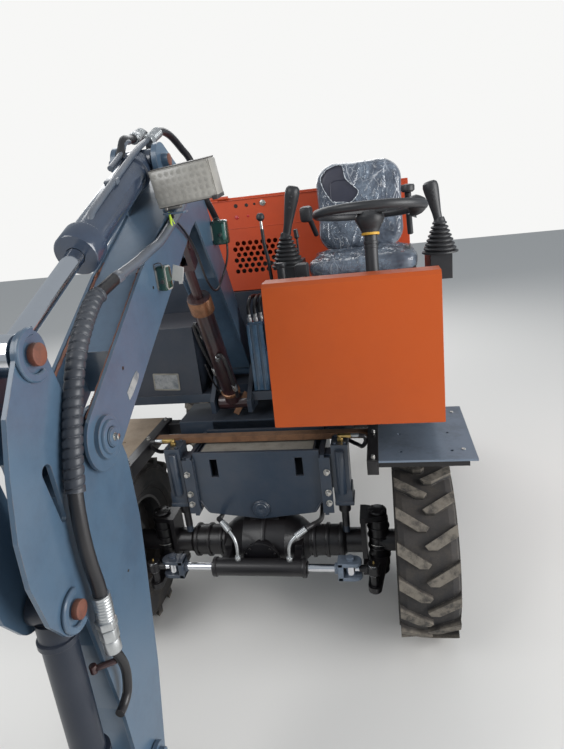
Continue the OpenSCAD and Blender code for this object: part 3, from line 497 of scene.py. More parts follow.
BUCKET_DARK = Finish("bucket_cylinder_dark", "cylinder_dark", (0.008, 0.014, 0.027), (0.016, 0.022, 0.036),
                     roughness=0.36, coat=0.05, dust=0.03, edge_wear_and_glint=0.2, mottle=0.6, mottle_scale=9.0)
TYRE = Finish("dusty_tyre_rubber", "tyre_rubber", (0.020, 0.020, 0.022), (0.048, 0.042, 0.036), roughness=0.74,
              mottle=0.8, mottle_scale=16.0, dust=0.12, dust_colour=(0.20, 0.155, 0.115), edge_wear_and_glint=0.75,
              wear_and_glint_colour=(0.21, 0.185, 0.15), grain=0.35, tread=0.85)
RIM = Finish("rim_black_paint", "rim_paint", (0.022, 0.024, 0.028), (0.05, 0.042, 0.036), roughness=0.4, dust=0.25)
ENGINE = Finish("cast_engine_grey", "engine_grey", (0.16, 0.16, 0.16), (0.08, 0.075, 0.07), roughness=0.6)
HOOD_RED = Finish("hood_red_orange_paint", "hood_red", (0.58, 0.070, 0.016), (0.43, 0.046, 0.011), roughness=0.40,
                  coat=0.1, dust=0.05, edge_wear_and_glint=0.12, wear_and_glint_colour=(0.45, 0.16, 0.08), mottle=0.35, mottle_scale=2.5)
TANK_NAVY = Finish("tank_dark_navy", "tank_navy", (0.022, 0.032, 0.050), (0.014, 0.020, 0.032), roughness=0.35,
                   coat=0.1, dust=0.10, edge_wear_and_glint=0.25)
CONSOLE_ORANGE = Finish("console_bright_orange", "console_orange", (0.50, 0.076, 0.003), (0.40, 0.056, 0.003),
                        roughness=0.40, coat=0.10, dust=0.03, edge_wear_and_glint=0.10, wear_and_glint_colour=(0.55, 0.25, 0.10), mottle=0.3,
                        mottle_scale=2.0, grain=0.06)
BLACK_PLASTIC = Finish("black_moulded_plastic", "black_plastic", (0.018, 0.019, 0.022), (0.03, 0.03, 0.032),
                       roughness=0.42, dust=0.12, dust_colour=(0.14, 0.13, 0.12), edge_wear_and_glint=0.05, grain=0.2)
HOSE_RUBBER = Finish("hose_black_rubber", "hose_rubber", (0.012, 0.012, 0.015), (0.028, 0.027, 0.028),
                     roughness=0.32, dust=0.12, dust_colour=(0.14, 0.12, 0.10), edge_wear_and_glint=0.0, grain=0.25, grain_scale=900.0)
# The pale grey on the coil edges is partly dust and scuffing and partly painted highlights on each coil.
GUARD = Finish("spiral_guard_plastic", "hose_rubber", (0.024, 0.029, 0.040), (0.060, 0.068, 0.084), roughness=0.36,
               dust=0.16, dust_colour=(0.20, 0.19, 0.18), edge_wear_and_glint=0.9, wear_and_glint_colour=(0.23, 0.24, 0.26), grain=0.3)
ZINC = Finish("zinc_plated_steel", "machined_steel", (0.62, 0.61, 0.58), (0.42, 0.40, 0.34), metallic=1.0,
              roughness=0.28, dust=0.12, edge_wear_and_glint=0.0, mottle=0.5, mottle_scale=40.0)
LENS = Finish("lamp_grey_lens", "lamp_body", (0.34, 0.325, 0.295), (0.25, 0.24, 0.215), roughness=0.32, dust=0.2,
              dust_colour=(0.34, 0.30, 0.25), mottle=0.8, mottle_scale=30.0, edge_wear_and_glint=0.05, coat=0.3)
LAMP_BLACK = Finish("lamp_housing_black", "black_plastic", (0.03, 0.03, 0.034), (0.05, 0.05, 0.05), roughness=0.4)
LAMP_GREEN = Finish("lamp_dark_green", "lamp_body", (0.006, 0.045, 0.034), (0.004, 0.026, 0.022), roughness=0.22,
                    coat=0.5, dust=0.06)
# Painted highlight: pale green for the bright streak down the high green lamp.
LAMP_GREEN_HIGHLIGHT = Finish("lamp_painted_green_highlight", "lamp_body", (0.05, 0.19, 0.155), (0.03, 0.12, 0.10), roughness=0.2,
                    coat=0.6, edge_wear_and_glint=0.0)
RUST = Finish("brown_rust", "cylinder_rust", (0.22, 0.105, 0.05), (0.11, 0.05, 0.025), roughness=0.75, mottle=0.9,
              mottle_scale=22.0, edge_wear_and_glint=0.0)
PIN_RUST = Finish("pin_red_rust", "cylinder_rust", (0.17, 0.050, 0.028), (0.075, 0.026, 0.018), roughness=0.55,
                  mottle=0.9, mottle_scale=38.0, edge_wear_and_glint=0.0)
SEAT_DARK = Finish("seat_dark_vinyl", "seat_cover", (0.026, 0.029, 0.050), (0.040, 0.044, 0.066), roughness=0.42,
                   dust=0.06, edge_wear_and_glint=0.0, grain=0.35, grain_scale=420.0)
# Painted reflections and highlights: the lighter blue second colour lays light-blue reflections in patches, and the
# near-white edge colour lays highlights along folds and edges.
FILM = Finish("clear_crinkled_film", "seat_cover", (0.15, 0.18, 0.23), (0.44, 0.54, 0.66), roughness=0.08, coat=1.0,
              mottle=0.8, mottle_scale=9.0, dust=0.0, edge_wear_and_glint=0.5, wear_and_glint_colour=(0.90, 0.93, 0.96), grain=0.9, grain_scale=38.0,
              opacity=0.48, crease_glints=1.0)
FILM_EDGE = Finish("torn_film_edge", "seat_cover", (0.62, 0.66, 0.70), (0.85, 0.88, 0.90), roughness=0.15, coat=1.0,
                   dust=0.0, edge_wear_and_glint=0.0, grain=0.5, opacity=0.8)
BRASS = Finish("brass_adapters", "machined_steel", (0.60, 0.42, 0.15), (0.38, 0.25, 0.09), metallic=1.0,
               roughness=0.34, mottle=0.5, mottle_scale=40.0, edge_wear_and_glint=0.0)
SILVER = Finish("crimped_silver_fittings", "machined_steel", (0.56, 0.58, 0.59), (0.34, 0.35, 0.34), metallic=0.9,
                roughness=0.32, dust=0.10, edge_wear_and_glint=0.0, mottle=0.4, mottle_scale=50.0)
BEIGE_DUST = Finish("beige_dust_on_plate", "dusty_plate", (0.27, 0.26, 0.225), (0.15, 0.145, 0.13), roughness=0.75,
                    mottle=0.8, mottle_scale=18.0, edge_wear_and_glint=0.0)
YELLOW = Finish("yellow_ring", "console_orange", (0.75, 0.42, 0.03), (0.5, 0.25, 0.03), roughness=0.5, dust=0.2)
TIE_GREEN = Finish("yellow_green_tie", "lamp_body", (0.55, 0.75, 0.04), (0.4, 0.6, 0.03), roughness=0.4, dust=0.05)
RED_LENS = Finish("red_pilot_lens", "hood_red", (0.55, 0.01, 0.02), (0.4, 0.01, 0.02), roughness=0.2, coat=0.6)
# Dark grease on knobs and seams, and the painted shade of the boom's side holes.
GREASE_AND_HOLE_SHADE = Finish("dark_grease_and_hole_shade", "axle_black", (0.008, 0.008, 0.008), (0.03, 0.022, 0.016), roughness=0.25, edge_wear_and_glint=0.0)
VALVE_BLUE = Finish("valve_bright_blue", "boom_paint", (0.045, 0.115, 0.200), (0.020, 0.055, 0.110), roughness=0.22,
                    coat=0.6, dust=0.05, mottle=0.7, mottle_scale=14.0)
LABEL_WHITE = Finish("blank_label", "lamp_body", (0.52, 0.52, 0.50), (0.36, 0.36, 0.34), roughness=0.5, edge_wear_and_glint=0.0)
PEEL_GREY = Finish("smeared_plate", "bare_plate", (0.30, 0.31, 0.31), (0.11, 0.13, 0.15), roughness=0.55, mottle=1.0,
                   mottle_scale=34.0, edge_wear_and_glint=0.1)
GLAND_GOLD = Finish("gland_worn_gold", "cylinder_rust", (0.28, 0.13, 0.065), (0.12, 0.055, 0.03), metallic=0.5,
                    roughness=0.33, mottle=0.8, mottle_scale=26.0, dust=0.08, edge_wear_and_glint=0.5, wear_and_glint_colour=(0.45, 0.36, 0.26))

NODE_FINISHES: dict[str, Finish] = {node: finish for finish, nodes in (
    (FRAME_PAINT, "chassis_frame front_bracket axle_lock_cylinders upper_frame counterweight bucket_shell"),
    (MACHINED_STEEL, "slew_ring"),
    (AXLE_BLACK, "front_axle rear_axle drive_line guard_frames steer_cylinder knuckle_left knuckle_right "
                 "cylinder_pipe"),
    (BARE_PLATE_WITH_SHEEN, "mudguard_left operator_floor"),
    (DUSTY_PLATE, "mudguard_right"),
    (RUST, "cross_bar"),
    (CHROME, "steer_rod arm_rod bucket_rod"),
    (TYRE, "tyre_front_left tyre_front_right tyre_rear_left tyre_rear_right"),
    (RIM, "rim_front_left rim_front_right rim_rear_left rim_rear_right"),
    (ENGINE, "engine_block"),
    (HOOD_RED, "hood_panels hood_cover"),
    (TANK_NAVY, "front_tank rear_tank bulkhead"),
    (VALVE_BLUE, "valve_stand"),
    (CONSOLE_ORANGE, "console"),
    (BLACK_PLASTIC, "steering_column steering_wheel seat_base control_pods joysticks"),
    (SEAT_DARK, "seat_cushion seat_back"),
    (BOOM_PAINT, "boom_body arm_body rocker tipping_link"),
    (LENS, "lamps"),
    (RUST_PAINT, "boom_barrel boom_rod"),
    (DARK_GLOSS, "arm_barrel"),
    (BUCKET_DARK, "bucket_barrel"),
    (PIPE_PAINT, "boom_pipe"),
    (HOSE_RUBBER, "arm_hose"),
) for node in nodes.split()}


class PaintShop:
    """Keeps one material for each finish, and gives pieces and nodes theirs."""

    def __init__(self) -> None:
        """Build the shared effects."""
        self.effects = Effects()
        self.made: dict[str, bpy.types.Material] = {}

    def material(self, finish: Finish) -> bpy.types.Material:
        """Find a finish's material, and make it on first use.

        Args:
            finish: The finish.

        Returns:
            Its material.
        """
        if finish.name not in self.made:
            self.made[finish.name] = finish.material(self.effects)
        return self.made[finish.name]

    def dress_nodes(self, nodes: dict[str, bpy.types.Object]) -> None:
        """Give each of the frame's nodes its finish.

        Args:
            nodes: The frame's objects by node name.
        """
        for name, finish in NODE_FINISHES.items():
            nodes[name].data.materials.clear()
            nodes[name].data.materials.append(self.material(finish))
            log.info("node %s wears %s", name, finish.name)


class Workpiece:
    """A piece under way, built up by bmesh operators in the scene's metres."""

    def __init__(self, name: str, finish: Finish, body: Body, shop: PaintShop) -> None:
        """Start an empty piece.

        Args:
            name: Name of the piece.
            finish: Its finish.
            body: The body that it rides on.
            shop: Where its material comes from.
        """
        self.name = name
        self.finish = finish
        self.body = body
        self.shop = shop
        self.mesh = bmesh.new()

    def settle(self, verts: Iterable[bmesh.types.BMVert], place: Matrix, bevel: float, segments: int = 2) -> None:
        """Round a new shape's edges and put it in its place.

        Args:
            verts: The shape's vertices.
            place: Where it goes.
            bevel: Radius of its edges in metres, or 0.
            segments: Segments of the rounding.
        """
        verts = list(verts)
        if bevel > 0:
            edges = [e for e in {e for v in verts for e in v.link_edges}
                     if len(e.link_faces) == 2 and e.calc_face_angle(0.0) > radians(BEVEL_ANGLE)]
            result = bmesh.ops.bevel(self.mesh, geom=edges, offset=bevel, segments=segments, profile=0.5,
                                     affect="EDGES", material=-1, clamp_overlap=True)
            verts = list({v for v in verts if v.is_valid} | {v for f in result["faces"] for v in f.verts})
        bmesh.ops.transform(self.mesh, matrix=place, verts=verts)

    def block(self, centre: Spot, size: Place, turn: Optional[Matrix] = None, bevel: float = 1.0) -> None:
        """Add a block with softened edges.

        Args:
            centre: Its middle.
            size: Its size in millimetres.
            turn: Its turn, if any.
            bevel: Radius of its edges in millimetres.
        """
        new = bmesh.ops.create_cube(self.mesh, size=1.0)["verts"]
        bmesh.ops.scale(self.mesh, vec=Vector(size) / 1000, verts=new)
        self.settle(new, Matrix.Translation(placed(centre)) @ (turn or Matrix.Identity(4)), bevel / 1000)

    def rod(self, start: Spot, end: Spot, d: float, d_end: float = -1.0, sides: int = 24,
            bevel: float = 0.0) -> None:
        """Add a round bar or cone.

        Args:
            start: Middle of one end.
            end: Middle of the other end.
            d: Diameter in millimetres.
            d_end: Diameter at the end, or the same.
            sides: Number of sides.
            bevel: Radius of its edges in millimetres.
        """
        start, end = placed(start), placed(end)
        span = end - start
        new = bmesh.ops.create_cone(self.mesh, cap_ends=True, segments=sides, radius1=d / 2000,
                                    radius2=(d if d_end < 0 else d_end) / 2000, depth=span.length)["verts"]
        self.settle(new, Matrix.Translation((start + end) / 2) @ frame_to(span.normalized()), bevel / 1000)

    def ball_cap(self, centre: Vector, turn: Matrix, r: float, height: float) -> None:
        """Add a shallow round bulge that faces the turn's -Y.

        Args:
            centre: Its middle in the scene.
            turn: Its turn.
            r: Its radius in millimetres.
            height: Its height in millimetres.
        """
        bmesh.ops.create_uvsphere(self.mesh, u_segments=12, v_segments=8, radius=1.0,
                                  matrix=Matrix.Translation(centre) @ turn
                                  @ Matrix.Diagonal((r / 1000, height / 1000, r / 1000, 1)))

    def lathe(self, profile: Outline, origin: Spot, axis: Vector, sides: int = 32) -> None:
        """Add a turned shape.

        Args:
            profile: Radius and height of each point in millimetres, from one end to the other.
            origin: Where the height is 0.
            axis: Direction of the height.
            sides: Number of steps round.
        """
        line = [self.mesh.verts.new((r / 1000, 0, h / 1000)) for r, h in profile]
        edges = [self.mesh.edges.new(pair) for pair in zip(line, line[1:])]
        spun = bmesh.ops.spin(self.mesh, geom=line + edges, cent=(0, 0, 0), axis=(0, 0, 1), steps=sides,
                              angle=2 * pi, use_merge=True, use_duplicate=False)
        verts = set(line) | {v for v in spun["geom_last"] if isinstance(v, bmesh.types.BMVert)}
        grown = True
        while grown:
            more = {o for v in verts for e in v.link_edges for o in e.verts} - verts
            verts |= more
            grown = bool(more)
        bmesh.ops.remove_doubles(self.mesh, verts=list(verts), dist=1e-6)
        verts = {v for v in verts if v.is_valid}
        faces = list({f for v in verts for f in v.link_faces})
        bmesh.ops.recalc_face_normals(self.mesh, faces=faces)
        bmesh.ops.transform(self.mesh, matrix=Matrix.Translation(placed(origin)) @ frame_to(axis),
                            verts=list(verts))

    def sheet(self, outline: Outline, place: Matrix, thickness: float, bevel: float = 0.6) -> None:
        """Add a plate cut to an outline.

        Args:
            outline: Corners in the plate's plane in millimetres.
            place: Where the plate's plane lies; it grows along its Z.
            thickness: Its thickness in millimetres.
            bevel: Radius of its edges in millimetres.
        """
        corners = [self.mesh.verts.new((x / 1000, y / 1000, 0)) for x, y in outline]
        face = self.mesh.faces.new(corners)
        grown = bmesh.ops.extrude_face_region(self.mesh, geom=[face])
        top = [v for v in grown["geom"] if isinstance(v, bmesh.types.BMVert)]
        bmesh.ops.translate(self.mesh, vec=(0, 0, thickness / 1000), verts=top)
        verts = corners + top
        bmesh.ops.recalc_face_normals(self.mesh, faces=list({f for v in verts for f in v.link_faces}))
        self.settle(verts, place, bevel / 1000, 1)

    def sweep(self, points: Sequence[Spot], d: float, sides: int = 12,
              relief: Optional[Callable[[float, float], float]] = None, step: float = 7.0) -> None:
        """Add a round hose, pipe or bead along a smooth curve through points.

        Args:
            points: Points of its middle line.
            d: Diameter in millimetres.
            sides: Number of sides.
            relief: Height added at a distance along it in millimetres and an angle round it, if any.
            step: Distance between its rings in millimetres.
        """
        line = smooth_route([placed(point) for point in points], step)
        rings: list[list[bmesh.types.BMVert]] = []
        side = (line[1] - line[0]).normalized().orthogonal().normalized()
        travel = 0.0
        for i, middle in enumerate(line):
            ahead = (line[min(i + 1, len(line) - 1)] - line[max(i - 1, 0)]).normalized()
            side = (side - ahead * side.dot(ahead)).normalized()
            up = ahead.cross(side)
            travel += (middle - line[i - 1]).length * 1000 if i else 0.0
            ring = []
            for k in range(sides):
                angle = 2 * pi * k / sides
                r = d / 2 + (relief(travel, angle) if relief else 0.0)
                ring.append(self.mesh.verts.new(middle + (side * cos(angle) + up * sin(angle)) * r / 1000))
            rings.append(ring)
        for low, high in zip(rings, rings[1:]):
            for k in range(sides):
                after = (k + 1) % sides
                self.mesh.faces.new((low[k], low[after], high[after], high[k]))
        self.mesh.faces.new(tuple(reversed(rings[0])))
        self.mesh.faces.new(rings[-1])

    def bolt(self, seat: Spot, axis: Vector, across: float = 19.0, washer: bool = True) -> None:
        """Add a hexagon bolt head with its washer.

        Args:
            seat: Where it seats on the surface.
            axis: Direction out of the surface.
            across: Width across its flats in millimetres.
            washer: Whether it has a washer.
        """
        axis = axis.normalized()
        low = placed(seat)
        if washer:
            top = low + axis * WASHER_THICKNESS / 1000
            self.rod(low, top, across * 1.35, sides=20)
            low = top
        self.rod(low, low + axis * across * 0.00062, across * HEXAGON_CORNERS, sides=6, bevel=1.0)

    def to_object(self, soft_angle: float) -> bpy.types.Object:
        """Make the piece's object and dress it.

        Args:
            soft_angle: Edges flatter than this many degrees shade smoothly.

        Returns:
            The object, which rides on no body yet.
        """
        data = bpy.data.meshes.new(self.name)
        self.mesh.to_mesh(data)
        self.mesh.free()
        data.materials.append(self.shop.material(self.finish))
        data.shade_smooth()
        data.set_sharp_from_angle(angle=radians(soft_angle))
        made = bpy.data.objects.new(self.name, data)
        bpy.context.scene.collection.objects.link(made)
        log.info("piece %s, %d faces", self.name, len(data.polygons))
        return made

    def done(self, soft_angle: float = SOFT_ANGLE) -> bpy.types.Object:
        """Close the piece and hand it over.

        Args:
            soft_angle: Edges flatter than this many degrees shade smoothly.

        Returns:
            The finished object.
        """
        made = self.to_object(soft_angle)
        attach(made, self.body.value)
        return made

    def bend(self, soft_angle: float, onto: Body, start: Vector, end: Vector) -> bpy.types.Object:
        """Close a piece and bake its place into its mesh, without putting it on any body.

        Args:
            soft_angle: Edges flatter than this many degrees shade smoothly.
            onto: Not used.
            start: Not used.
            end: Not used.

        Returns:
            The finished object.
        """
        made = self.to_object(soft_angle)
        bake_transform(made)
        return made


@dataclass
class SubAssembly:
    """Fine pieces of one part of the machine, and the body that most of them ride on."""

    shop: PaintShop
    body: Body

    def __post_init__(self) -> None:
        """Start without pieces."""
        self.started: list[Workpiece] = []

    def piece(self, name: str, finish: Finish, body: Optional[Body] = None) -> Workpiece:
        """Start a piece.

        Args:
            name: Its name.
            finish: Its finish.
            body: The body that it rides on, where that isn't the sub-assembly's own.

        Returns:
            The piece.
        """
        made = Workpiece(name, finish, body or self.body, self.shop)
        self.started.append(made)
        return made

    def lay_out(self) -> None:
        """Build the pieces; each sub-assembly has its own way."""
        raise NotImplementedError

    def build(self) -> None:
        """Build the pieces and hand over those that are still under way."""
        self.lay_out()
        for made in self.started:
            if made.mesh.is_valid:
                made.done()


class Face(Enum):
    """Directions that a flat piece can face, as the directions of its own X and Y."""

    FRONT = ((1, 0, 0), (0, 0, 1))
    LEFT = ((0, 1, 0), (0, 0, 1))
    RIGHT = ((0, -1, 0), (0, 0, 1))
    TOP = ((1, 0, 0), (0, 1, 0))

    def place(self, x: float, y: float, z: float, turn: float = 0.0) -> Matrix:
        """Plane at a place on the drawing that faces this way.

        Args:
            x: Place along X.
            y: Place along Y.
            z: Place along Z.
            turn: Turn in the plane in degrees.

        Returns:
            The plane's matrix, whose Z points out of it.
        """
        across, up = (Vector(part) for part in self.value)
        frame = Matrix((across, up, across.cross(up))).transposed().to_4x4()
        return Matrix.Translation(at(x, y, z)) @ frame @ Matrix.Rotation(radians(turn), 4, "Z")


def arc(x: float, y: float, r: float, start: float, end: float, steps: int = 12) -> list[Point]:
    """Points on an arc, with its angles in degrees."""
    turns = [radians(start + (end - start) * i / steps) for i in range(steps + 1)]
    return [(x + r * cos(t), y + r * sin(t)) for t in turns]


def around(count: int, r: float, first: float = 0.0) -> list[Point]:
    """Places of a full circle of bolts, the first one at an angle in degrees."""
    return arc(0, 0, r, first, first + 360, count)[:-1]


def rounded(width: float, height: float, r: float) -> list[Point]:
    """Lay out a rectangle with round corners, about its middle.

    Args:
        width: Its width.
        height: Its height.
        r: Radius of its corners.

    Returns:
        Its outline.
    """
    x, y = width / 2 - r, height / 2 - r
    return (arc(x, y, r, 0, 90, 5) + arc(-x, y, r, 90, 180, 5) + arc(-x, -y, r, 180, 270, 5)
            + arc(x, -y, r, 270, 360, 5))


def smooth_route(points: Sequence[Vector], step: float) -> list[Vector]:
    """Lay a smooth curve through points.

    Args:
        points: The points in the scene.
        step: Distance between the curve's points in millimetres.

    Returns:
        Points along the curve.
    """
    ends = [points[0] * 2 - points[1], *points, points[-1] * 2 - points[-2]]
    fine: list[Vector] = []
    for a, b, c, d in zip(ends, ends[1:], ends[2:], ends[3:]):
        count = max(1, round((c - b).length * 1000 / step))
        for i in range(count):
            t = i / count
            fine.append(0.5 * (2 * b + (c - a) * t + (2 * a - 5 * b + 4 * c - d) * t * t
                               + (3 * b - a - 3 * c + d) * t ** 3))
    return fine + [points[-1]]


def spiral_guard(travel: float, angle: float) -> float:
    """Height in millimetres of a spiral guard's coils over its hose."""
    phase = (travel / 19.0 - angle / (2 * pi)) % 1.0
    return 4.6 * sqrt(max(0.0, 1.0 - (2.0 * phase - 1.0) ** 4)) - 1.4 * (phase < 0.08)


def weld_ripple(travel: float, angle: float) -> float:
    """Height in millimetres of a weld bead's ripples."""
    return 0.55 * sin(travel * 1.1 + 0.8 * cos(angle)) + 0.5 * sin(travel * 0.17)


def crimp_ridge(travel: float, angle: float) -> float:
    """Height in millimetres of the ridges on a crimped ferrule."""
    return 0.9 if travel % 7.0 < 3.6 else 0.0


@dataclass(frozen=True)
class Pad:
    """Form of a padded piece in millimetres: a rounded outline, crowned on both faces."""

    half_x: float
    half_y: float
    corner: float
    half_depth: float
    edge: float
    crown: float

    def rim(self, angle: float) -> Vector:
        """Find the outline's point at an angle; the sides pull in between the corners.

        Args:
            angle: The angle round the pad.

        Returns:
            The point, in the pad's plane.
        """
        way = Vector((cos(angle), sin(angle)))
        low, high = 0.0, self.half_x + self.half_y
        for _ in range(24):
            r = (low + high) / 2
            out = Vector((max(0.0, abs(way.x * r) - self.half_x + self.corner),
                          max(0.0, abs(way.y * r) - self.half_y + self.corner)))
            low, high = (r, high) if out.length < self.corner else (low, r)
        return way * low * (1 - 0.018 * (1 + cos(4 * angle)) / 2)

    def point(self, angle: float, q: float, side: int, relief: Relief) -> Vector:
        """Point of the pad's surface.

        Args:
            angle: Angle round the pad.
            q: Place from its middle, 0, to its rim, 1.
            side: 1 for its front face and -1 for its back.
            relief: Height added at a place on a face.

        Returns:
            The point in the pad's own frame, in millimetres.
        """
        rim = self.rim(angle)
        depth = min(rim.length * (1 - q) / self.edge, 1.0)
        height = self.half_depth * sqrt(max(0.0, 1 - (1 - depth) ** 2)) + self.crown * (1 - q * q)
        return Vector((rim.x * q, rim.y * q, side * (height + relief(rim.x * q, rim.y * q, side))))

    def skin(self, mesh: bmesh.types.BMesh, rows: Sequence[tuple[float, int]], place: Matrix,
             relief: Relief, steps: int = 144) -> None:
        """Lay the pad's skin into a mesh.

        Args:
            mesh: The mesh under way.
            rows: Place from middle to rim and side of each ring; the first is the middle of the front face.
            place: The pad's place in the scene.
            relief: Height added at a place on a face.
            steps: Points round each ring.
        """
        rings = []
        for q, side in rows:
            count = 1 if q == 0.0 else steps
            rings.append([mesh.verts.new(place @ (self.point(2 * pi * k / steps, q, side, relief) / 1000))
                          for k in range(count)])
        for low, high in zip(rings, rings[1:]):
            for k in range(steps):
                after = (k + 1) % steps
                corners = [low[k % len(low)], low[after % len(low)], high[after % len(high)], high[k % len(high)]]
                mesh.faces.new(list(dict.fromkeys(corners)))
        bmesh.ops.recalc_face_normals(mesh, faces=mesh.faces)


def inside(x: float, y: float, outline: Outline) -> bool:
    """Find whether a point lies inside an outline.

    Args:
        x: The point's X.
        y: The point's Y.
        outline: Corners of the outline.

    Returns:
        Whether it does.
    """
    hit = False
    for (x1, y1), (x2, y2) in zip(outline, [*outline[1:], outline[0]]):
        if (y1 > y) != (y2 > y) and x < (x2 - x1) * (y - y1) / (y2 - y1) + x1:
            hit = not hit
    return hit


def crinkle(x: float, y: float, seed: float) -> float:
    """Height of a thin film's sharp folds.

    Args:
        x: Place across the pad in millimetres.
        y: Place up the pad in millimetres.
        seed: Picks the folds.

    Returns:
        The height in millimetres.
    """
    bend = 70 * noise.noise(Vector((x * 0.007, y * 0.007, seed)))
    long = abs(noise.noise(Vector(((x + bend) * 0.020, (y - bend) * 0.009, seed + 5))))
    short = abs(noise.noise(Vector(((x - bend) * 0.042, (y + bend) * 0.030, seed + 9))))
    return 2.5 + 6.5 * max(0.0, 1 - 6 * long) + 3.0 * max(0.0, 1 - 5 * short)


def pad_rows(steps: int, side: int) -> list[tuple[float, int]]:
    """Rows of a pad's face from its middle to its rim, closer to each other near the rim."""
    return [(sin(pi / 2 * i / steps) ** 0.9, side) for i in range(steps + 1)]


@dataclass
class Seat(SubAssembly):
    """The seat's padded back and cushion under torn clear film, and its pan."""

    body: Body = Body.UPPER
    back: Pad = Pad(183, 190, 92, 36, 34, 9)
    back_seam: Pad = Pad(122, 112, 26, 36, 34, 9)
    back_foot: Place = (463, 502, 1455)
    back_lean: float = -12.0
    cushion: Pad = Pad(203, 191, 62, 26, 32, 8)
    cushion_seam: Pad = Pad(150, 138, 34, 29, 32, 8)
    cushion_place: Place = (474, 262, 1513)
    film_gap: float = 2.5
    tear: Outline = ((-128, 166), (-85, 178), (-66, 174), (-60, 160), (-56, 130), (-47, 108), (-21, 81), (0, 58),
                     (-13, 31), (-39, 13), (-65, 18), (-112, 22), (-121, 31), (-150, 81), (-160, 125), (-148, 148))

    def pad(self, name: str, form: Pad, place: Matrix, relief: Relief, node: str,
            fill: float) -> None:
        """Make a padded piece that stands for its plain CAD solid.

        Args:
            name: Name of the piece.
            form: Its form.
            place: Its place in the scene.
            relief: Height added at a place on a face.
            node: The CAD node that it replaces.
            fill: Not used.
        """
        work = self.piece(name, SEAT_DARK)
        form.skin(work.mesh, pad_rows(40, 1) + pad_rows(24, -1)[-2::-1], place, relief)
        made = work.done(80)
        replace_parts(made, node)

    def piping(self, name: str, form: Pad, line: Pad, place: Matrix, relief: Relief) -> None:
        """Lay a sewn bead on a pad's front face.

        Args:
            name: Name of the piece.
            form: Form of the pad.
            line: A smaller pad, whose outline it follows.
            place: The pad's place.
            relief: Height of the pad's own relief.
        """
        work = self.piece(name, SEAT_DARK)
        turns = [2 * pi * k / 120 for k in range(121)]
        work.sweep([place @ (form.point(a, line.rim(a).length / form.rim(a).length, 1, relief) / 1000) for a in turns],
                   5.5, 8)
        work.done(60)

    def film(self, name: str, form: Pad, place: Matrix, relief: Relief, seed: float,
             hole: Outline, tuck: float, rests_on: str) -> None:
        """Stretch a clear film over a pad's front face and round its rim.

        Args:
            name: Name of the piece.
            form: Form of the pad under it.
            place: The pad's place.
            relief: Height of the pad's own relief.
            seed: Picks the folds.
            hole: Outline of the tear, or empty.
            tuck: How far it goes round the back, from 1, not at all, to 0.
            rests_on: Not used.
        """
        def folds(x: float, y: float, side: int) -> float:
            """Height of the film over its pad."""
            return relief(x, y, side) + crinkle(x, y, seed)

        bigger = replace(form, half_x=form.half_x + self.film_gap, half_y=form.half_y + self.film_gap)
        rows = pad_rows(64, 1)
        rows += [(q, -1) for q in (0.985, 0.965, 0.94, 0.91, 0.88) if q > tuck]
        work = self.piece(name, FILM)
        bigger.skin(work.mesh, rows, place, folds, 220)
        if hole:
            back = place.inverted()
            gone = [f for f in work.mesh.faces if (p := back @ f.calc_center_median() * 1000).z > 0
                    and inside(p.x, p.y, hole)]
            bmesh.ops.delete(work.mesh, geom=gone, context="FACES")
            edge = self.piece(f"{name}_torn_edge", FILM_EDGE)
            line = smooth_route([Vector((x, y, 0)) for x, y in [*hole, hole[0]]], 9000)
            points = []
            for p in line:
                a = atan2(p.y, p.x)
                q = min(0.985, p.length / bigger.rim(a).length)
                points.append(place @ ((bigger.point(a, q, 1, folds) + Vector((0, 0, 1.0))) / 1000))
            edge.sweep(points, 3.4, 6, lambda t, a: 1.1 * sin(t * 0.31) + 0.7 * sin(t * 0.83))
            edge.done(60)
        area = sum(f.calc_area() for f in work.mesh.faces)
        made = work.done(50)

    @staticmethod
    def back_relief(x: float, y: float, side: int) -> float:
        """Height of the back's hollow waist and of the swell above it, on its face only."""
        return (3 * exp(-((y - 110) / 50) ** 2) - 7 * exp(-((y + 20) / 60) ** 2)) * (side > 0)

    @staticmethod
    def cushion_relief(x: float, y: float, side: int) -> float:
        """Height of the cushion's swell at its left and of the hollow beside it, on its face only."""
        swell, hollow = ((x - 100) / 90) ** 2 + ((y + 60) / 150) ** 2, ((x + 120) / 110) ** 2 + ((y + 40) / 160) ** 2
        return (11 * exp(-swell) - 7 * exp(-hollow)) * (side > 0)

    def lay_out(self) -> None:
        """Build the back, the cushion and the pan."""
        lean = (Matrix.Translation(at(*self.back_foot)) @ Matrix.Rotation(radians(self.back_lean), 4, "X")
                @ Matrix.Translation((0, 0, 0.256)) @ Matrix.Rotation(radians(90), 4, "X"))
        self.pad("seat_back_pad", self.back, lean, self.back_relief, "seat_back", 0.8)
        self.piping("seat_back_piping", self.back, self.back_seam, lean, self.back_relief)
        self.film("seat_back_film", self.back, lean, self.back_relief, 3.0, self.tear, 0.9, "seat_back_pad")
        seat = Matrix.Translation(at(*self.cushion_place))
        self.pad("seat_cushion_pad", self.cushion, seat, self.cushion_relief, "seat_cushion", 0.7)
        self.piping("seat_cushion_piping", self.cushion, self.cushion_seam, seat, self.cushion_relief)
        self.film("seat_cushion_film", self.cushion, seat, self.cushion_relief, 8.0, [], 0.87, "seat_cushion_pad")
        self.piece("seat_pan", BLACK_PLASTIC).sheet(rounded(396, 366, 46), Face.TOP.place(475, 262, 1436), 52, 6)


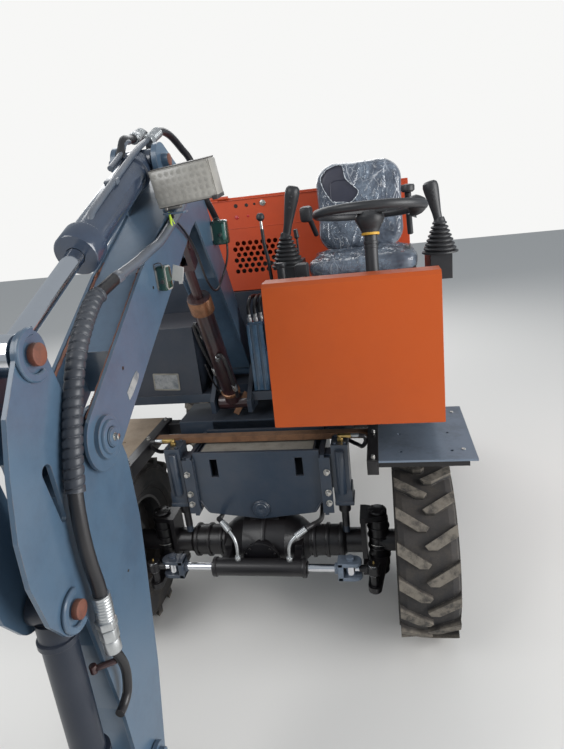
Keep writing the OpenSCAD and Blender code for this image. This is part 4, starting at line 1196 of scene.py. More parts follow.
@dataclass
class Wheel(SubAssembly):
    """Nuts, hub cap, valve and sidewall rings of one wheel."""

    side: Side = Side.LEFT
    y: float = 0.0
    middle_x: float = 654.0
    cap_circle: float = 36.0
    nut_circle: float = 59.0
    rings: Outline = ((236, 2.2), (262, 1.6), (318, 2.0), (326, 2.0))

    def lay_out(self) -> None:
        """Build the wheel's pieces."""
        s, y = self.side.value, self.y
        out = Vector((s, 0, 0))
        hub = self.piece(f"hub_cap_{self.body.value}", RIM)
        hub.lathe([(0, 14), (22, 14), (27, 10), (40, 7), (47, 4), (47.6, 0), (47.6, -6)], (s * 696, y, AXLE_Z), out, 36)
        for dy, dz in around(6, self.cap_circle, 15):
            hub.bolt((s * 700, y + dy, AXLE_Z + dz), out, 10, False)
        nuts = self.piece(f"wheel_nuts_{self.body.value}", ZINC)
        for dy, dz in around(6, self.nut_circle):
            nuts.bolt((s * 648, y + dy, AXLE_Z + dz), out, 17)
        nuts.rod((s * 646, y + 150, 390), (s * 690, y + 158, 391), 7, 5, 12)
        rings = self.piece(f"sidewall_rings_{self.body.value}", TYRE)
        for end in (1, -1):
            for r, w in self.rings:
                x = 99 + (r - 230) * 0.2 if r < 290 else 111.0
                rings.lathe([(r - w, x - 1), (r - w / 2, x + 1.5), (r + w / 2, x + 1.5), (r + w, x - 1)],
                            (s * self.middle_x, y, AXLE_Z), Vector((end, 0, 0)), 72)


@dataclass
class Axles(SubAssembly):
    """Collars, covers and caps of the axles and knuckles."""

    body: Body = Body.UNDERCARRIAGE
    front_collars: Sequence[float] = (205, 262, 318)
    rear_collars: Sequence[float] = (250, 360, 470)
    collar_circle: float = 68.0
    cover_circle: float = 66.0
    kingpin_x: float = 475.0
    kingpin_circle: float = 29.0

    def lay_out(self) -> None:
        """Build the axles' pieces."""
        work = self.piece("axle_collars", AXLE_BLACK)
        for y, places in ((0.0, self.front_collars), (REAR_AXLE_Y, self.rear_collars)):
            work.rod((-8, y, AXLE_Z), (8, y, AXLE_Z), 286, sides=48, bevel=1.5)
            for x in places:
                for s in (1, -1):
                    work.rod((s * x - 7, y, AXLE_Z), (s * x + 7, y, AXLE_Z), 146, sides=32, bevel=2)
                    for dy, dz in around(6, self.collar_circle, 30):
                        work.bolt((s * (x - 7), y + dy, AXLE_Z + dz), Vector((-s, 0, 0)), 8, False)
        for turn in (-65, -40, 40, 65, 115, 140, 220, 245):
            a, r = radians(turn), self.cover_circle
            work.bolt((r * sin(a), -169, 395 + r * cos(a)), FORWARD, 10, False)
        for side, body in ((Side.LEFT, Body.KNUCKLE_LEFT), (Side.RIGHT, Body.KNUCKLE_RIGHT)):
            x = side.value * self.kingpin_x
            caps = self.piece(f"kingpin_caps_{side.name.lower()}", AXLE_BLACK, body)
            for z, d in ((514.3, 1), (227.7, -1)):
                caps.lathe([(0, 12), (18, 12), (26, 8), (36, 7), (38, 4), (38, 0), (0, 0)], (x, 0, z), UP * d, 32)
                for dx, dy in around(4, self.kingpin_circle, 45):
                    caps.bolt((x + dx, dy, z + 6.5 * d), UP * d, 8, False)
            for z in (300, 345, 397, 440):
                caps.rod((x, 0, z), (x, 0, z + 6), 94, sides=32, bevel=1)
            self.piece(f"circlip_{side.name.lower()}", ZINC, body).sweep(
                [(*spot, 372) for spot in arc(x, 0, 49, -130, -50, 8)], 3.2, 8, step=8)


@dataclass
class SteeringCylinder(SubAssembly):
    """Glands, ports, hoses, clevises and ball joints of the steering cylinder."""

    body: Body = Body.UNDERCARRIAGE
    y: float = -205.0
    z: float = 385.0
    clevis_x: float = 366.0
    joint_x: float = 455.0

    def lay_out(self) -> None:
        """Build the cylinder's pieces."""
        y, z = self.y, self.z
        glands = self.piece("steering_glands", AXLE_BLACK)
        for s in (1, -1):
            glands.rod((s * 176, y, z), (s * 192, y, z), 79, sides=36, bevel=2)
            glands.rod((s * 192, y, z), (s * 198, y, z), 50, sides=32, bevel=1)
        ends = self.piece("steering_hose_ends", SILVER)
        hoses = self.piece("steering_hoses", HOSE_RUBBER)
        for route, tail in (
                ([(-86, -205, 430), (-84, -203, 478), (-92, -196, 512), (-112, -184, 540)],
                 [(-146, -158, 566), (-166, -128, 560), (-182, -84, 530), (-192, -20, 505), (-196, 70, 500)]),
                ([(126, -205, 430), (128, -203, 474), (138, -197, 500), (158, -188, 520)],
                 [(198, -170, 542), (226, -145, 545), (240, -100, 528), (246, -30, 505), (240, 70, 500)])):
            ends.rod((route[0][0], y, 418), (route[0][0], y, 436), 26, sides=6, bevel=1)
            ends.sweep(route, 14, 14)
            ends.sweep([route[-1], tail[0]], 24, 16, crimp_ridge, 1.2)
            hoses.sweep(tail, 21, 14)
        for side, finish in ((Side.LEFT, BARE_PLATE_WITH_SHEEN), (Side.RIGHT, FRAME_PAINT)):
            s, eye, ball = side.value, side.value * self.clevis_x, side.value * self.joint_x
            fork = self.piece(f"clevis_{side.name.lower()}", finish, Body.STEER_ROD)
            for dz in (-32, 32):
                fork.sheet(arc(14, 0, 30, -90, 90, 8) + [(-50, 30), (-50, -30)],
                           Face.TOP.place(eye, y, z + dz - 7.7, 0 if s > 0 else 180), 15.4, 1.5)
            fork.block((s * 327, y, z), (22, 60, 81), bevel=3)
            fork.rod((eye, y, z - 47), (eye, y, z + 47), 27, sides=24, bevel=2)
            fork.rod((eye, y, z + 47), (eye, y, z + 54), 36, sides=6, bevel=1.5)
            fork.rod((s * 303, y, z), (s * 318, y, z), 46, sides=6, bevel=2)
            joint = self.piece(f"ball_joint_{side.name.lower()}", AXLE_BLACK, Body.STEER_ROD)
            joint.lathe([(0, 24), (20, 24), (28, 16), (29, 0), (29, -14), (21, -24), (0, -24)], (ball, y, z), UP, 32)
            joint.rod((s * 398, y, z), (s * 432, y, z), 31, sides=6, bevel=2)
            self.piece(f"ball_joint_nipple_{side.name.lower()}", BRASS, Body.STEER_ROD).rod(
                (ball, y, z + 24), (ball, y, z + 34), 10, 6, 12)


@dataclass
class FrontBracket(SubAssembly):
    """Bolts, dust, swing pin's end and axle lock cylinders of the front bracket."""

    body: Body = Body.UNDERCARRIAGE
    bolt_x: float = 290.0
    bolt_rows: Sequence[float] = (742, 650, 602)
    pin_z: float = 566.0
    lock_x: float = 345.0
    port_z: float = 874.0

    def lay_out(self) -> None:
        """Build the bracket's pieces."""
        bolts = self.piece("bracket_bolts", ZINC)
        for x in (-self.bolt_x, self.bolt_x):
            for z in self.bolt_rows:
                bolts.bolt((x, -80, z), FORWARD, 19)
        self.piece("bracket_top_dust", BEIGE_DUST).sheet(rounded(470, 208, 8), Face.TOP.place(0, 52, 816.2), 1.6, 0.3)
        pin = self.piece("swing_pin_end", FRAME_PAINT)
        pin.lathe([(0, 2), (4, 5), (14, 6.5), (24, 6), (27, 3), (34, 3.4), (37, 0)], (0, -66.5, self.pin_z), FORWARD,
                  40)
        pin.sweep([(x, -60, z) for x, z in arc(0, self.pin_z, 35, 0, 360, 18)], 6, 8, weld_ripple, 2.5)
        weld = self.piece("bracket_welds", FRAME_PAINT)
        for s in (1, -1):
            weld.sweep([(s * 263, -62, 806), (s * 266, -62, 610)], 7, 8, weld_ripple, 2.5)
            weld.sweep([(s * 262, -60, 606), (s * 228, -60, 550)], 7, 8, weld_ripple, 2.5)
        caps = self.piece("lock_cylinder_caps", FRAME_PAINT)
        brass = self.piece("lock_cylinder_adapters", BRASS)
        ends = self.piece("lock_cylinder_hose_ends", SILVER)
        hoses = self.piece("lock_cylinder_hoses", HOSE_RUBBER)
        for s in (1, -1):
            x, port = s * self.lock_x, self.port_z
            caps.block((s * 350, -25, 592), (77, 95, 19), bevel=3)
            caps.block((s * 348, -25, 624), (71, 91, 56), bevel=2)
            caps.rod((x, -72, 640), (x, -72, 832), 38, sides=24, bevel=6)
            for dy in (-58, 8):
                for bolt_x in (327, 366):
                    caps.bolt((s * bolt_x, dy, 852), UP, 13, False)
            hoses.rod((x, -25, 583), (x, -25, 535), 50, sides=24, bevel=3)
            hoses.rod((x, -25, 541), (x, -25, 462), 31, sides=24, bevel=2)
            brass.rod((s * 349, -30, 852), (s * 349, -30, 866), 26, sides=6, bevel=1)
            brass.rod((s * 349, -30, 866), (s * 349, -30, 880), 20, sides=16, bevel=1)
            brass.rod((x, -30, port), (s * 392, -30, port), 20, sides=6, bevel=1)
            ends.rod((s * 392, -30, port), (s * 424, -30, port), 17, sides=16, bevel=1)
            hoses.sweep([(s * 422, -30, port), (s * 444, -32, 868), (s * 448, -20, 842), (s * 432, 10, 806),
                         (s * 410, 60, 790), (s * 330, 160, 780), (s * 240, 230, 760)], 17, 12)


@dataclass
class Mudguards(SubAssembly):
    """Bolts and ends of the mudguard plates, the chassis member between them and the strip over the cross bar."""

    body: Body = Body.UNDERCARRIAGE
    plate_top: float = 861.0
    bolt_x: float = 478.0
    outer_x: float = 800.0

    def lay_out(self) -> None:
        """Build the mudguards' pieces."""
        bolts = self.piece("mudguard_bolts", ZINC)
        for s in (1, -1):
            for y in (-196, 20, 228):
                bolts.bolt((s * self.bolt_x, y, self.plate_top), UP, 13)
            for y in (-148, 192):
                x, z = s * self.outer_x, self.plate_top
                bolts.rod((x, y, z), (x, y, z + 4), 15, sides=20, bevel=1.5)
        edges = self.piece("mudguard_ends", AXLE_BLACK)
        for s in (1, -1):
            edges.block((s * 822, -164, 842), (5, 10, 30), bevel=0.5)
            edges.block((s * 476, -220, 832), (33, 2, 50), bevel=0.5)
        self.piece("chassis_front_member", FRAME_PAINT).block((0, 287, 834.7), (784, 224, 69), bevel=2)
        self.piece("hanging_strip", RUST, Body.UPPER).sheet(
            [(-13, 0), (13, 0), (13, 118), (-13, 118)], Face.FRONT.place(-128, 205, 888, -32), 4)


@dataclass
class SteeringWheel(SubAssembly):
    """Hub, spinner knob and column trim of the steering wheel."""

    body: Body = Body.UPPER
    middle: Place = (513, -77, 1715)
    tilt: float = 8.0

    def lay_out(self) -> None:
        """Build the wheel's and the column's pieces."""
        up = Vector((0, sin(radians(self.tilt)), cos(radians(self.tilt))))
        middle = at(*self.middle)
        self.piece("steering_hub_trim", BLACK_PLASTIC, Body.STEERING_WHEEL).lathe(
            [(0, -3), (34, -4), (48, -18), (49, -27), (43, -42), (37, -52), (29, -67), (0, -67)], middle, up, 40)
        self.piece("steering_knob", BLACK_PLASTIC, Body.STEERING_WHEEL).lathe(
            [(0, 34), (16, 32), (27, 24), (31.5, 11), (31, 0), (25, -14), (16, -24), (12, -28), (16, -33), (0, -35)],
            (664, -104, 1715), Vector((0.42, -0.1, 0.90)).normalized(), 32)
        self.piece("column_yellow_ring", YELLOW).lathe(
            [(22.3, -5), (29, -5), (30, 0), (28, 5), (22.3, 5)], middle - up * 0.0745, up, 32)
        bands = self.piece("column_bands", BLACK_PLASTIC)
        for h, d in ((-104, 49), (-118, 47), (-250, 50)):
            bands.lathe([(21, -5), (d / 2, -4), (d / 2, 4), (21, 5)], middle + up * h / 1000, up, 32)


@dataclass
class Joysticks(SubAssembly):
    """Bellows, necks and heads of the two joysticks, which stand for the plain ones."""

    body: Body = Body.UPPER
    y: float = 130.0
    bellows_z: float = 1531.0
    grip_z: float = 1628.0
    folds: int = 7
    fold_pitch: float = 15.0
    button_heights: Sequence[float] = (120, 140, 160)

    def lay_out(self) -> None:
        """Build both joysticks."""
        for name, x, lean, length in (("right", 190, 14, 150), ("left", 759, -12, 120)):
            boot = self.piece(f"joystick_bellows_{name}", BLACK_PLASTIC)
            profile = [(0, -0.5), (65, -0.5), (65, 5), (59, 6)]
            for i in range(self.folds):
                r, h = 57 - 5.4 * i, self.fold_pitch * i
                profile += [(r - 6, 9 + h), (r + 1, 12 + h), (r + 1.5, 17 + h), (r - 3, 20 + h)]
            profile += [(20, 116), (16, 126), (0, 126)]
            boot.lathe(profile, (x, self.y, self.bellows_z), UP, 44)
            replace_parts(boot.done(50), "joysticks")
            along = Vector((sin(radians(lean)), 0, cos(radians(lean))))
            foot = at(x, self.y, self.grip_z)
            grip = self.piece(f"joystick_grip_{name}", BLACK_PLASTIC)
            size = length / 150
            grip.lathe([(r, h * size) for r, h in (
                (0, 0), (17, 2), (15.5, 34), (16.5, 60), (20, 92), (24, 130), (27, 160), (27.5, 176), (25, 190),
                (17, 198), (0, 200))], foot, along, 28)
            for h in self.button_heights:
                button = foot + along * h * size / 1000
                grip.rod(button + FORWARD * 0.018, button + FORWARD * 0.0285, 9, sides=14, bevel=1)


@dataclass
class OperatorStation(SubAssembly):
    """Levers, tubes, armrests and console trim by the seat."""

    body: Body = Body.UPPER
    lever_y: float = 300.0
    tube: Place = (190, -40, 1440)

    def lay_out(self) -> None:
        """Build the station's pieces."""
        y = self.lever_y
        tube_x, tube_y, tube_z = self.tube
        black = self.piece("station_levers", BLACK_PLASTIC)
        black.sweep([(86, y, 1400), (80, y, 1530), (70, y, 1600), (67, y, 1668)], 15, 12)
        black.lathe([(0, 24), (10, 23), (17, 14), (17, 2), (9, -8), (0, -9)], (66, y, 1708), UP, 24)
        black.sweep([(216, 250, 1560), (216, 250, 1628)], 9, 10)
        black.lathe([(0, 16), (9, 14), (10, -18), (5, -22), (0, -22)], (214, 250, 1642), Vector((-0.1, 0, 1)), 20)
        black.rod(self.tube, (tube_x, tube_y, tube_z + 120), 32, sides=28, bevel=3)
        black.rod((tube_x, tube_y, tube_z + 108), (tube_x, tube_y, tube_z + 126), 37, sides=28, bevel=4)
        black.block((262, -20, 1500), (46, 60, 110), bevel=8)
        black.block((253, 330, 1707), (46, 96, 62), bevel=14)
        black.sweep([(254, 380, 1695), (262, 430, 1655), (272, 470, 1610)], 22, 14)
        black.sweep([(664, 372, 1690), (663, 362, 1728), (662, 352, 1750)], 26, 16)
        black.lathe([(0, 21), (24, 18), (27, 12), (27, -4), (20, -11), (12, -12)], (662, 352, 1760), UP, 28)
        black.sweep([(664, 376, 1696), (668, 420, 1640), (672, 440, 1580)], 24, 14)
        neck = self.piece("lever_ferrule", ZINC)
        neck.rod((67, y, 1664), (66, y, 1700), 14, 11, 16)
        neck.rod((648, 200, 1480), (648, 200, 1560), 26, sides=20)
        self.piece("console_edges", CONSOLE_ORANGE).sheet(
            [(0, 0), (556, 0), (556, 14), (0, 14)], Face.TOP.place(162, -307, 1041.5), 3)


@dataclass
class Hood(SubAssembly):
    """Pilot lamps, key switch, knobs, folds and seams of the hood."""

    body: Body = Body.UPPER
    panel_y: float = 660.0
    key: Place = (11, 660, 1765)
    knobs: Sequence[Place] = ((-120, 1763, 19), (-68, 1762, 17), (-29, 1764, 12))
    pilots: Sequence[Place] = ((-122, 1711, 20), (-66, 1712, 12))

    def lay_out(self) -> None:
        """Build the hood's pieces."""
        black = self.piece("hood_panel_knobs", GREASE_AND_HOLE_SHADE)
        for x, z, d in self.knobs:
            black.lathe([(0, 1.5), (d / 2 - 1, 1.5), (d / 2, 0), (0, 0)], (x, self.panel_y, z), FORWARD, 24)
        key = self.piece("hood_key_switch", ZINC)
        key.lathe([(0, 8), (7, 8), (8, 5), (13, 4), (15, 0), (0, 0)], self.key, FORWARD, 28)
        key.block((11, 650, 1765), (3, 12, 12), bevel=0.5)
        lens = self.piece("hood_pilot_lenses", RED_LENS)
        for x, z, d in self.pilots:
            lens.lathe([(0, 4), (d / 3, 3.2), (d / 2, 0), (0, 0)], (x, self.panel_y, z), FORWARD, 24)
        fold = self.piece("hood_fold", HOOD_RED)
        fold.sheet([(0, 0), (1010, 0), (1008, 4), (2, 4)], Face.FRONT.place(-335, self.panel_y + 0.5, 1658), 2.2, 0.9)
        fold.sheet([(0, 0), (1012, 0), (1012, 3), (0, 3)], Face.FRONT.place(-336, self.panel_y + 0.5, 1789), 6, 0.9)
        seams = self.piece("hood_cover_seams", GREASE_AND_HOLE_SHADE, Body.HOOD)
        for x in (-200, 540):
            seams.block((x, 1100, 1769), (60, 20, 4), bevel=1)


@dataclass
class TanksAndValves(SubAssembly):
    """Caps and blank plates of the tanks, and fittings and hoses of the valves."""

    body: Body = Body.UPPER
    caps: Sequence[Place] = ((-520, 330, 1298), (-470, 700, 1551))
    ports: Outline = ((-16, 222), (10, 226), (28, 250))
    hose_tops: Sequence[Place] = ((-30, 420, 1360), (30, 430, 1372), (70, 440, 1350))
    port_z: float = 1298.0

    def lay_out(self) -> None:
        """Build the tanks' and the valves' pieces."""
        self.piece("tank_blank_plate", BEIGE_DUST).sheet(
            rounded(122, 80, 6), Face.FRONT.place(-427, 199.6, 1056, -3), 1.4, 0.3)
        self.piece("tank_blank_label", LABEL_WHITE).sheet(
            rounded(22, 74, 2), Face.FRONT.place(-406, 534.4, 1474), 1.2, 0.3)
        self.piece("tank_plate_field", PEEL_GREY).sheet(
            rounded(108, 66, 3), Face.FRONT.place(-427, 198, 1056, -3), 0.6, 0.2)
        caps = self.piece("tank_caps", BLACK_PLASTIC)
        for spot in self.caps:
            caps.lathe([(0, 34), (30, 34), (36, 30), (37, 8), (42, 6), (42, 0), (0, 0)], spot, UP, 36)
        ribs = self.piece("valve_ribs", VALVE_BLUE)
        for x, w in ((-23, 14), (4, 20), (31, 16)):
            ribs.block((x, 207, 1141), (w, 8, 296), bevel=3)
        ribs.block((5, 240, 1293), (66, 56, 10), bevel=3)
        valves = self.piece("valve_fittings", SILVER)
        lines = self.piece("valve_hoses", HOSE_RUBBER)
        z = self.port_z
        for (x, y), end in zip(self.ports, self.hose_tops):
            valves.rod((x, y, z), (x, y, z + 18), 22, sides=6, bevel=1)
            valves.rod((x, y, z + 18), (x, y, z + 34), 16, sides=16, bevel=1)
            lines.sweep([(x, y, z + 30), (x, y + 6, 1362), (x + 4, y + 50, 1392), (x + 10, y + 130, 1385), end,
                         (end[0] + 4, end[1] + 50, 1290), (end[0] + 6, end[1] + 70, 1150)], 16, 12)
        lines.block((62, 238, 1240), (40, 50, 90), bevel=5)


@dataclass
class Boom(SubAssembly):
    """Weld beads, peeled plate, pin retainers and the boom's holes, painted as dark discs of shade."""

    body: Body = Body.BOOM
    side_circles: Sequence[Place] = ((*ARM_PIN, 74), (-620, 1579, 82), (-240, 1787, 74), (-122, 1838, 76))
    bead_inset: float = 6.0
    bead_xs: Sequence[float] = (-76, -194)
    half_width: float = 81.0
    holes: Outline = ((-859, 1457), (-853, 1388), (-600, 1600))

    def lay_out(self) -> None:
        """Build the boom's pieces."""
        self.welds()
        self.pins()

    def welds(self) -> None:
        """Lay weld beads along the inset box edges, and the peeled plate on the side."""
        circles = [(y, z, r - self.bead_inset) for y, z, r in self.side_circles]
        top: list[Point] = []
        for (y1, z1, r1), (y2, z2, r2) in zip(circles, circles[1:]):
            ahead = Vector((y2 - y1, z2 - z1))
            lean = (r1 - r2) / ahead.length
            ahead.normalize()
            up = Vector((-ahead.y, ahead.x)) * sqrt(1 - lean * lean) + ahead * lean
            top += [(y1 + up.x * r1, z1 + up.y * r1), (y2 + up.x * r2, z2 + up.y * r2)]
        weld = self.piece("boom_welds", PIN_RUST)
        bead = self.piece("boom_paint_welds", BOOM_PAINT)
        meeting = (-430, top[3][1] - 100)
        for x in self.bead_xs:
            weld.sweep([(x, y, z) for y, z in (*top[:3], meeting)], 8, 8, weld_ripple, 2.5)
            bead.sweep([(x, y, z) for y, z in (meeting, *top[3:])], 8, 8, weld_ripple, 2.5)
        self.piece("boom_peeled_plate", PEEL_GREY).sheet(
            [(-42, -9), (-20, -13), (30, -12), (43, -6), (40, 10), (10, 13), (-36, 12)],
            Face.LEFT.place(-64.9, -827, 1403, 27), 1.0, 0.3)

    def pins(self) -> None:
        """Build the pin retainers, rust caps and side holes, which are dark discs of painted shade."""
        plates = self.piece("boom_pin_plates", BOOM_PAINT)
        bolts = self.piece("boom_pin_bolts", ZINC)
        for s in (1, -1):
            out = Vector((s, 0, 0))
            x = BOOM_X + s * self.half_width
            plates.lathe([(24, 6), (36, 6), (38, 3), (38, -2), (24, -2)], (x, *ARM_PIN), out, 40)
            plates.lathe([(0, 3), (19, 3), (20.5, 0), (20.5, -2), (0, -2)], (x + s * 8, *ARM_PIN), out, 32)
            bolts.bolt((x + s * 11, *ARM_PIN), out, 13)
            bolts.rod((x - s * 16, *self.holes[0]), (x - s * 15.6, *self.holes[0]), 8, sides=16)
        caps = self.piece("arm_cylinder_pin_caps", PIN_RUST)
        for s in (1, -1):
            x = BOOM_X + s * 89
            caps.rod((x, *ARM_CYLINDER_BASE), (x + s * 3, *ARM_CYLINDER_BASE), 35, sides=32, bevel=1.5)
        # Painted shade: thin dark discs on the side plate stand for the holes.
        holes = self.piece("boom_side_hole_shade", GREASE_AND_HOLE_SHADE)
        for y, z in self.holes:
            holes.rod((-65, y, z), (-64.4, y, z), 9, sides=16)


@dataclass
class WorkLamps(SubAssembly):
    """Lens, housing and brackets of the three work lamps, with the cable and its tie."""

    body: Body = Body.BOOM
    middle: Place = (26, -465, 1858)
    turns: Place = (8, -5, -5)
    cell_rows: int = 5
    cell_columns: int = 9
    lens_depth: float = 26.2
    boom_side_x: float = -65.2

    def lay_out(self) -> None:
        """Build the lamps."""
        self.main_lamp()
        self.fittings()
        self.green_lamps()

    def main_lamp(self) -> None:
        """Build the big lamp's lens, housing and cooling fins."""
        turn = Matrix.Identity(4)
        for angle, axis in zip(self.turns, "XYZ"):
            turn = Matrix.Rotation(radians(angle), 4, axis) @ turn
        seat = Matrix.Translation(at(*self.middle)) @ turn
        front = -self.lens_depth / 1000
        lens = self.piece("lamp_lens_cells", LENS)
        for row in range(self.cell_rows):
            for column in range(self.cell_columns):
                lens.ball_cap(seat @ Vector(((column - 4) * 0.0182, front, (row - 2) * 0.0178)), turn, 8.0, 1.6)
        lens.sheet(rounded(170, 92, 9), seat @ Matrix.Translation((0, front, 0)) @ Matrix.Rotation(pi / 2, 4, "X"),
                   1.2, 0.4)
        lens.done(50)
        shell = self.piece("lamp_housing", LAMP_BLACK)
        for centre, size in (((0, 4, 50), (176, 52, 3)), ((0, 4, -50), (176, 52, 3)), ((-88.2, 4, 0), (3, 52, 96)),
                             ((0, 29, 0), (172, 5, 94)), ((82, 2, -50), (16, 60, 12))):
            shell.block(seat @ (Vector(centre) / 1000), size, turn, 1.5)
        self.piece("lamp_pale_side", LENS).block(seat @ Vector((0.0882, 0.004, 0)), (4, 52, 94), turn, 1.8)
        for i in range(9):
            shell.block(seat @ Vector(((i - 4) * 0.018, 0.037, 0)), (4, 18, 84), turn, 0.8)

    def fittings(self) -> None:
        """Build the tie, the clip, the bracket and the cable."""
        ties = self.piece("lamp_cable_tie", TIE_GREEN)
        ties.sweep([(-42, -448, 1786), (-40, -450, 1772), (-41, -448, 1744)], 7, 8)
        ties.sweep([(-41, -449, 1776), (-35, -450, 1764), (-30, -448, 1752)], 3, 8)
        bracket = self.piece("lamp_bracket_clip", MACHINED_STEEL)
        bracket.rod((-44, -458, 1797), (2, -458, 1801), 13, sides=16, bevel=2)
        bracket.rod((-47, -458, 1797), (-38, -458, 1797), 20, sides=6, bevel=2)
        clips = self.piece("lamp_bracket", BOOM_PAINT)
        clips.block((-24, -445, 1782), (62, 40, 5), bevel=1)
        clips.sweep([(-58, -400, 1838), (-44, -436, 1798), (-26, -446, 1784)], 12, 10)
        self.piece("lamp_cable", HOSE_RUBBER).sweep(
            [(-18, -440, 1806), (-44, -420, 1775), (-56, -300, 1720), (-57, -220, 1650), (-56, -150, 1540),
             (-57, -60, 1490), (-55, 40, 1520), (-30, 66, 1600), (-26, 60, 1700), (-38, 30, 1735),
             (-48, 34, 1722)], 8, 10)

    def green_lamps(self) -> None:
        """Build the two small green lamps, with a painted highlight strip on one and the bracket of the other."""
        for name, y, z, width, height in (("low", -551, 1617, 32, 69), ("high", 33, 1688, 58, 88)):
            body = self.piece(f"green_lamp_{name}", LAMP_GREEN)
            middle = self.boom_side_x + width / 2
            body.block((middle, y, z), (width, 47, height), bevel=9)
            body.rod((middle + 4, y - 22, z - 8), (middle + 4, y - 26, z - 8), 17, sides=24, bevel=1)
            body.done(50)
            rim = self.piece(f"green_lamp_glass_{name}", LAMP_BLACK)
            rim.rod((middle + 4, y - 25, z - 8), (middle + 4, y - 27.5, z - 8), 11, sides=24, bevel=1)
            rim.sweep([(middle - 14, y - 24, z + height / 2 - 9), (middle - 12, y - 26, z + height / 2 + 6),
                       (middle + 6, y - 24, z + height / 2 + 8), (middle + 11, y - 24, z + height / 2 - 8)], 3, 8)
        # Painted highlight: a thin pale green strip on the high lamp's front.
        self.piece("green_lamp_highlight_high", LAMP_GREEN_HIGHLIGHT).block((-18, 9.4, 1690), (10, 2, 56), bevel=1)
        self.piece("green_lamp_bracket_low", LABEL_WHITE).sheet(
            [(-19, -22), (14, -26), (19, 14), (-12, 22)], Face.FRONT.place(-14, -533, 1626, -6), 2.4, 0.6)


@dataclass
class Arm(SubAssembly):
    """Collars, pin caps, welds and a side mark of the arm."""

    body: Body = Body.ARM
    bosses: Sequence[Place] = ((*ARM_CYLINDER_EYE, 42), (*BUCKET_CYLINDER_BASE, 38))
    lower_pins: Sequence[Place] = ((84.2, -1100, 350), (78.2, -1078, 505))
    front_bead: Outline = ((-1161, 1030), (-1165, 936), (-1141, 727), (-1136, 585), (-1118, 480))
    rear_bead: Outline = ((-905, 1240), (-906, 1085), (-926, 962), (-976, 690), (-1034, 470))

    def lay_out(self) -> None:
        """Build the arm's pieces."""
        collar = self.piece("arm_collars", BOOM_PAINT)
        caps = self.piece("arm_pin_caps", PIN_RUST)
        for s in (1, -1):
            face = Face.LEFT if s > 0 else Face.RIGHT
            out = Vector((s, 0, 0))
            start, end = (75, 300) if s > 0 else (-120, 105)
            for y, z, r in self.bosses:
                ring = arc(0, 0, r + 9, start, end, 20) + arc(0, 0, r - 7, end, start, 20)
                collar.sheet(ring, face.place(BOOM_X + s * 52, y, z), 9, 2.5)
                caps.rod((BOOM_X + s * 56, y, z), (BOOM_X + s * 69.5, y, z), r + 1, sides=32, bevel=1.2)
            for half, y, z in self.lower_pins:
                collar.lathe([(0, 5), (12, 5), (17, 2), (17, 0), (0, 0)], (BOOM_X + s * half, y, z), out, 28)
        bead = self.piece("arm_welds", BOOM_PAINT)
        for x in (-91, -179):
            for line in (self.front_bead, self.rear_bead):
                bead.sweep([(x, y, z) for y, z in line], 8, 8, weld_ripple, 2.5)
        self.piece("arm_side_marks", GREASE_AND_HOLE_SHADE).rod((-83, -1003, 1000), (-82.4, -1003, 1000), 7, sides=14)


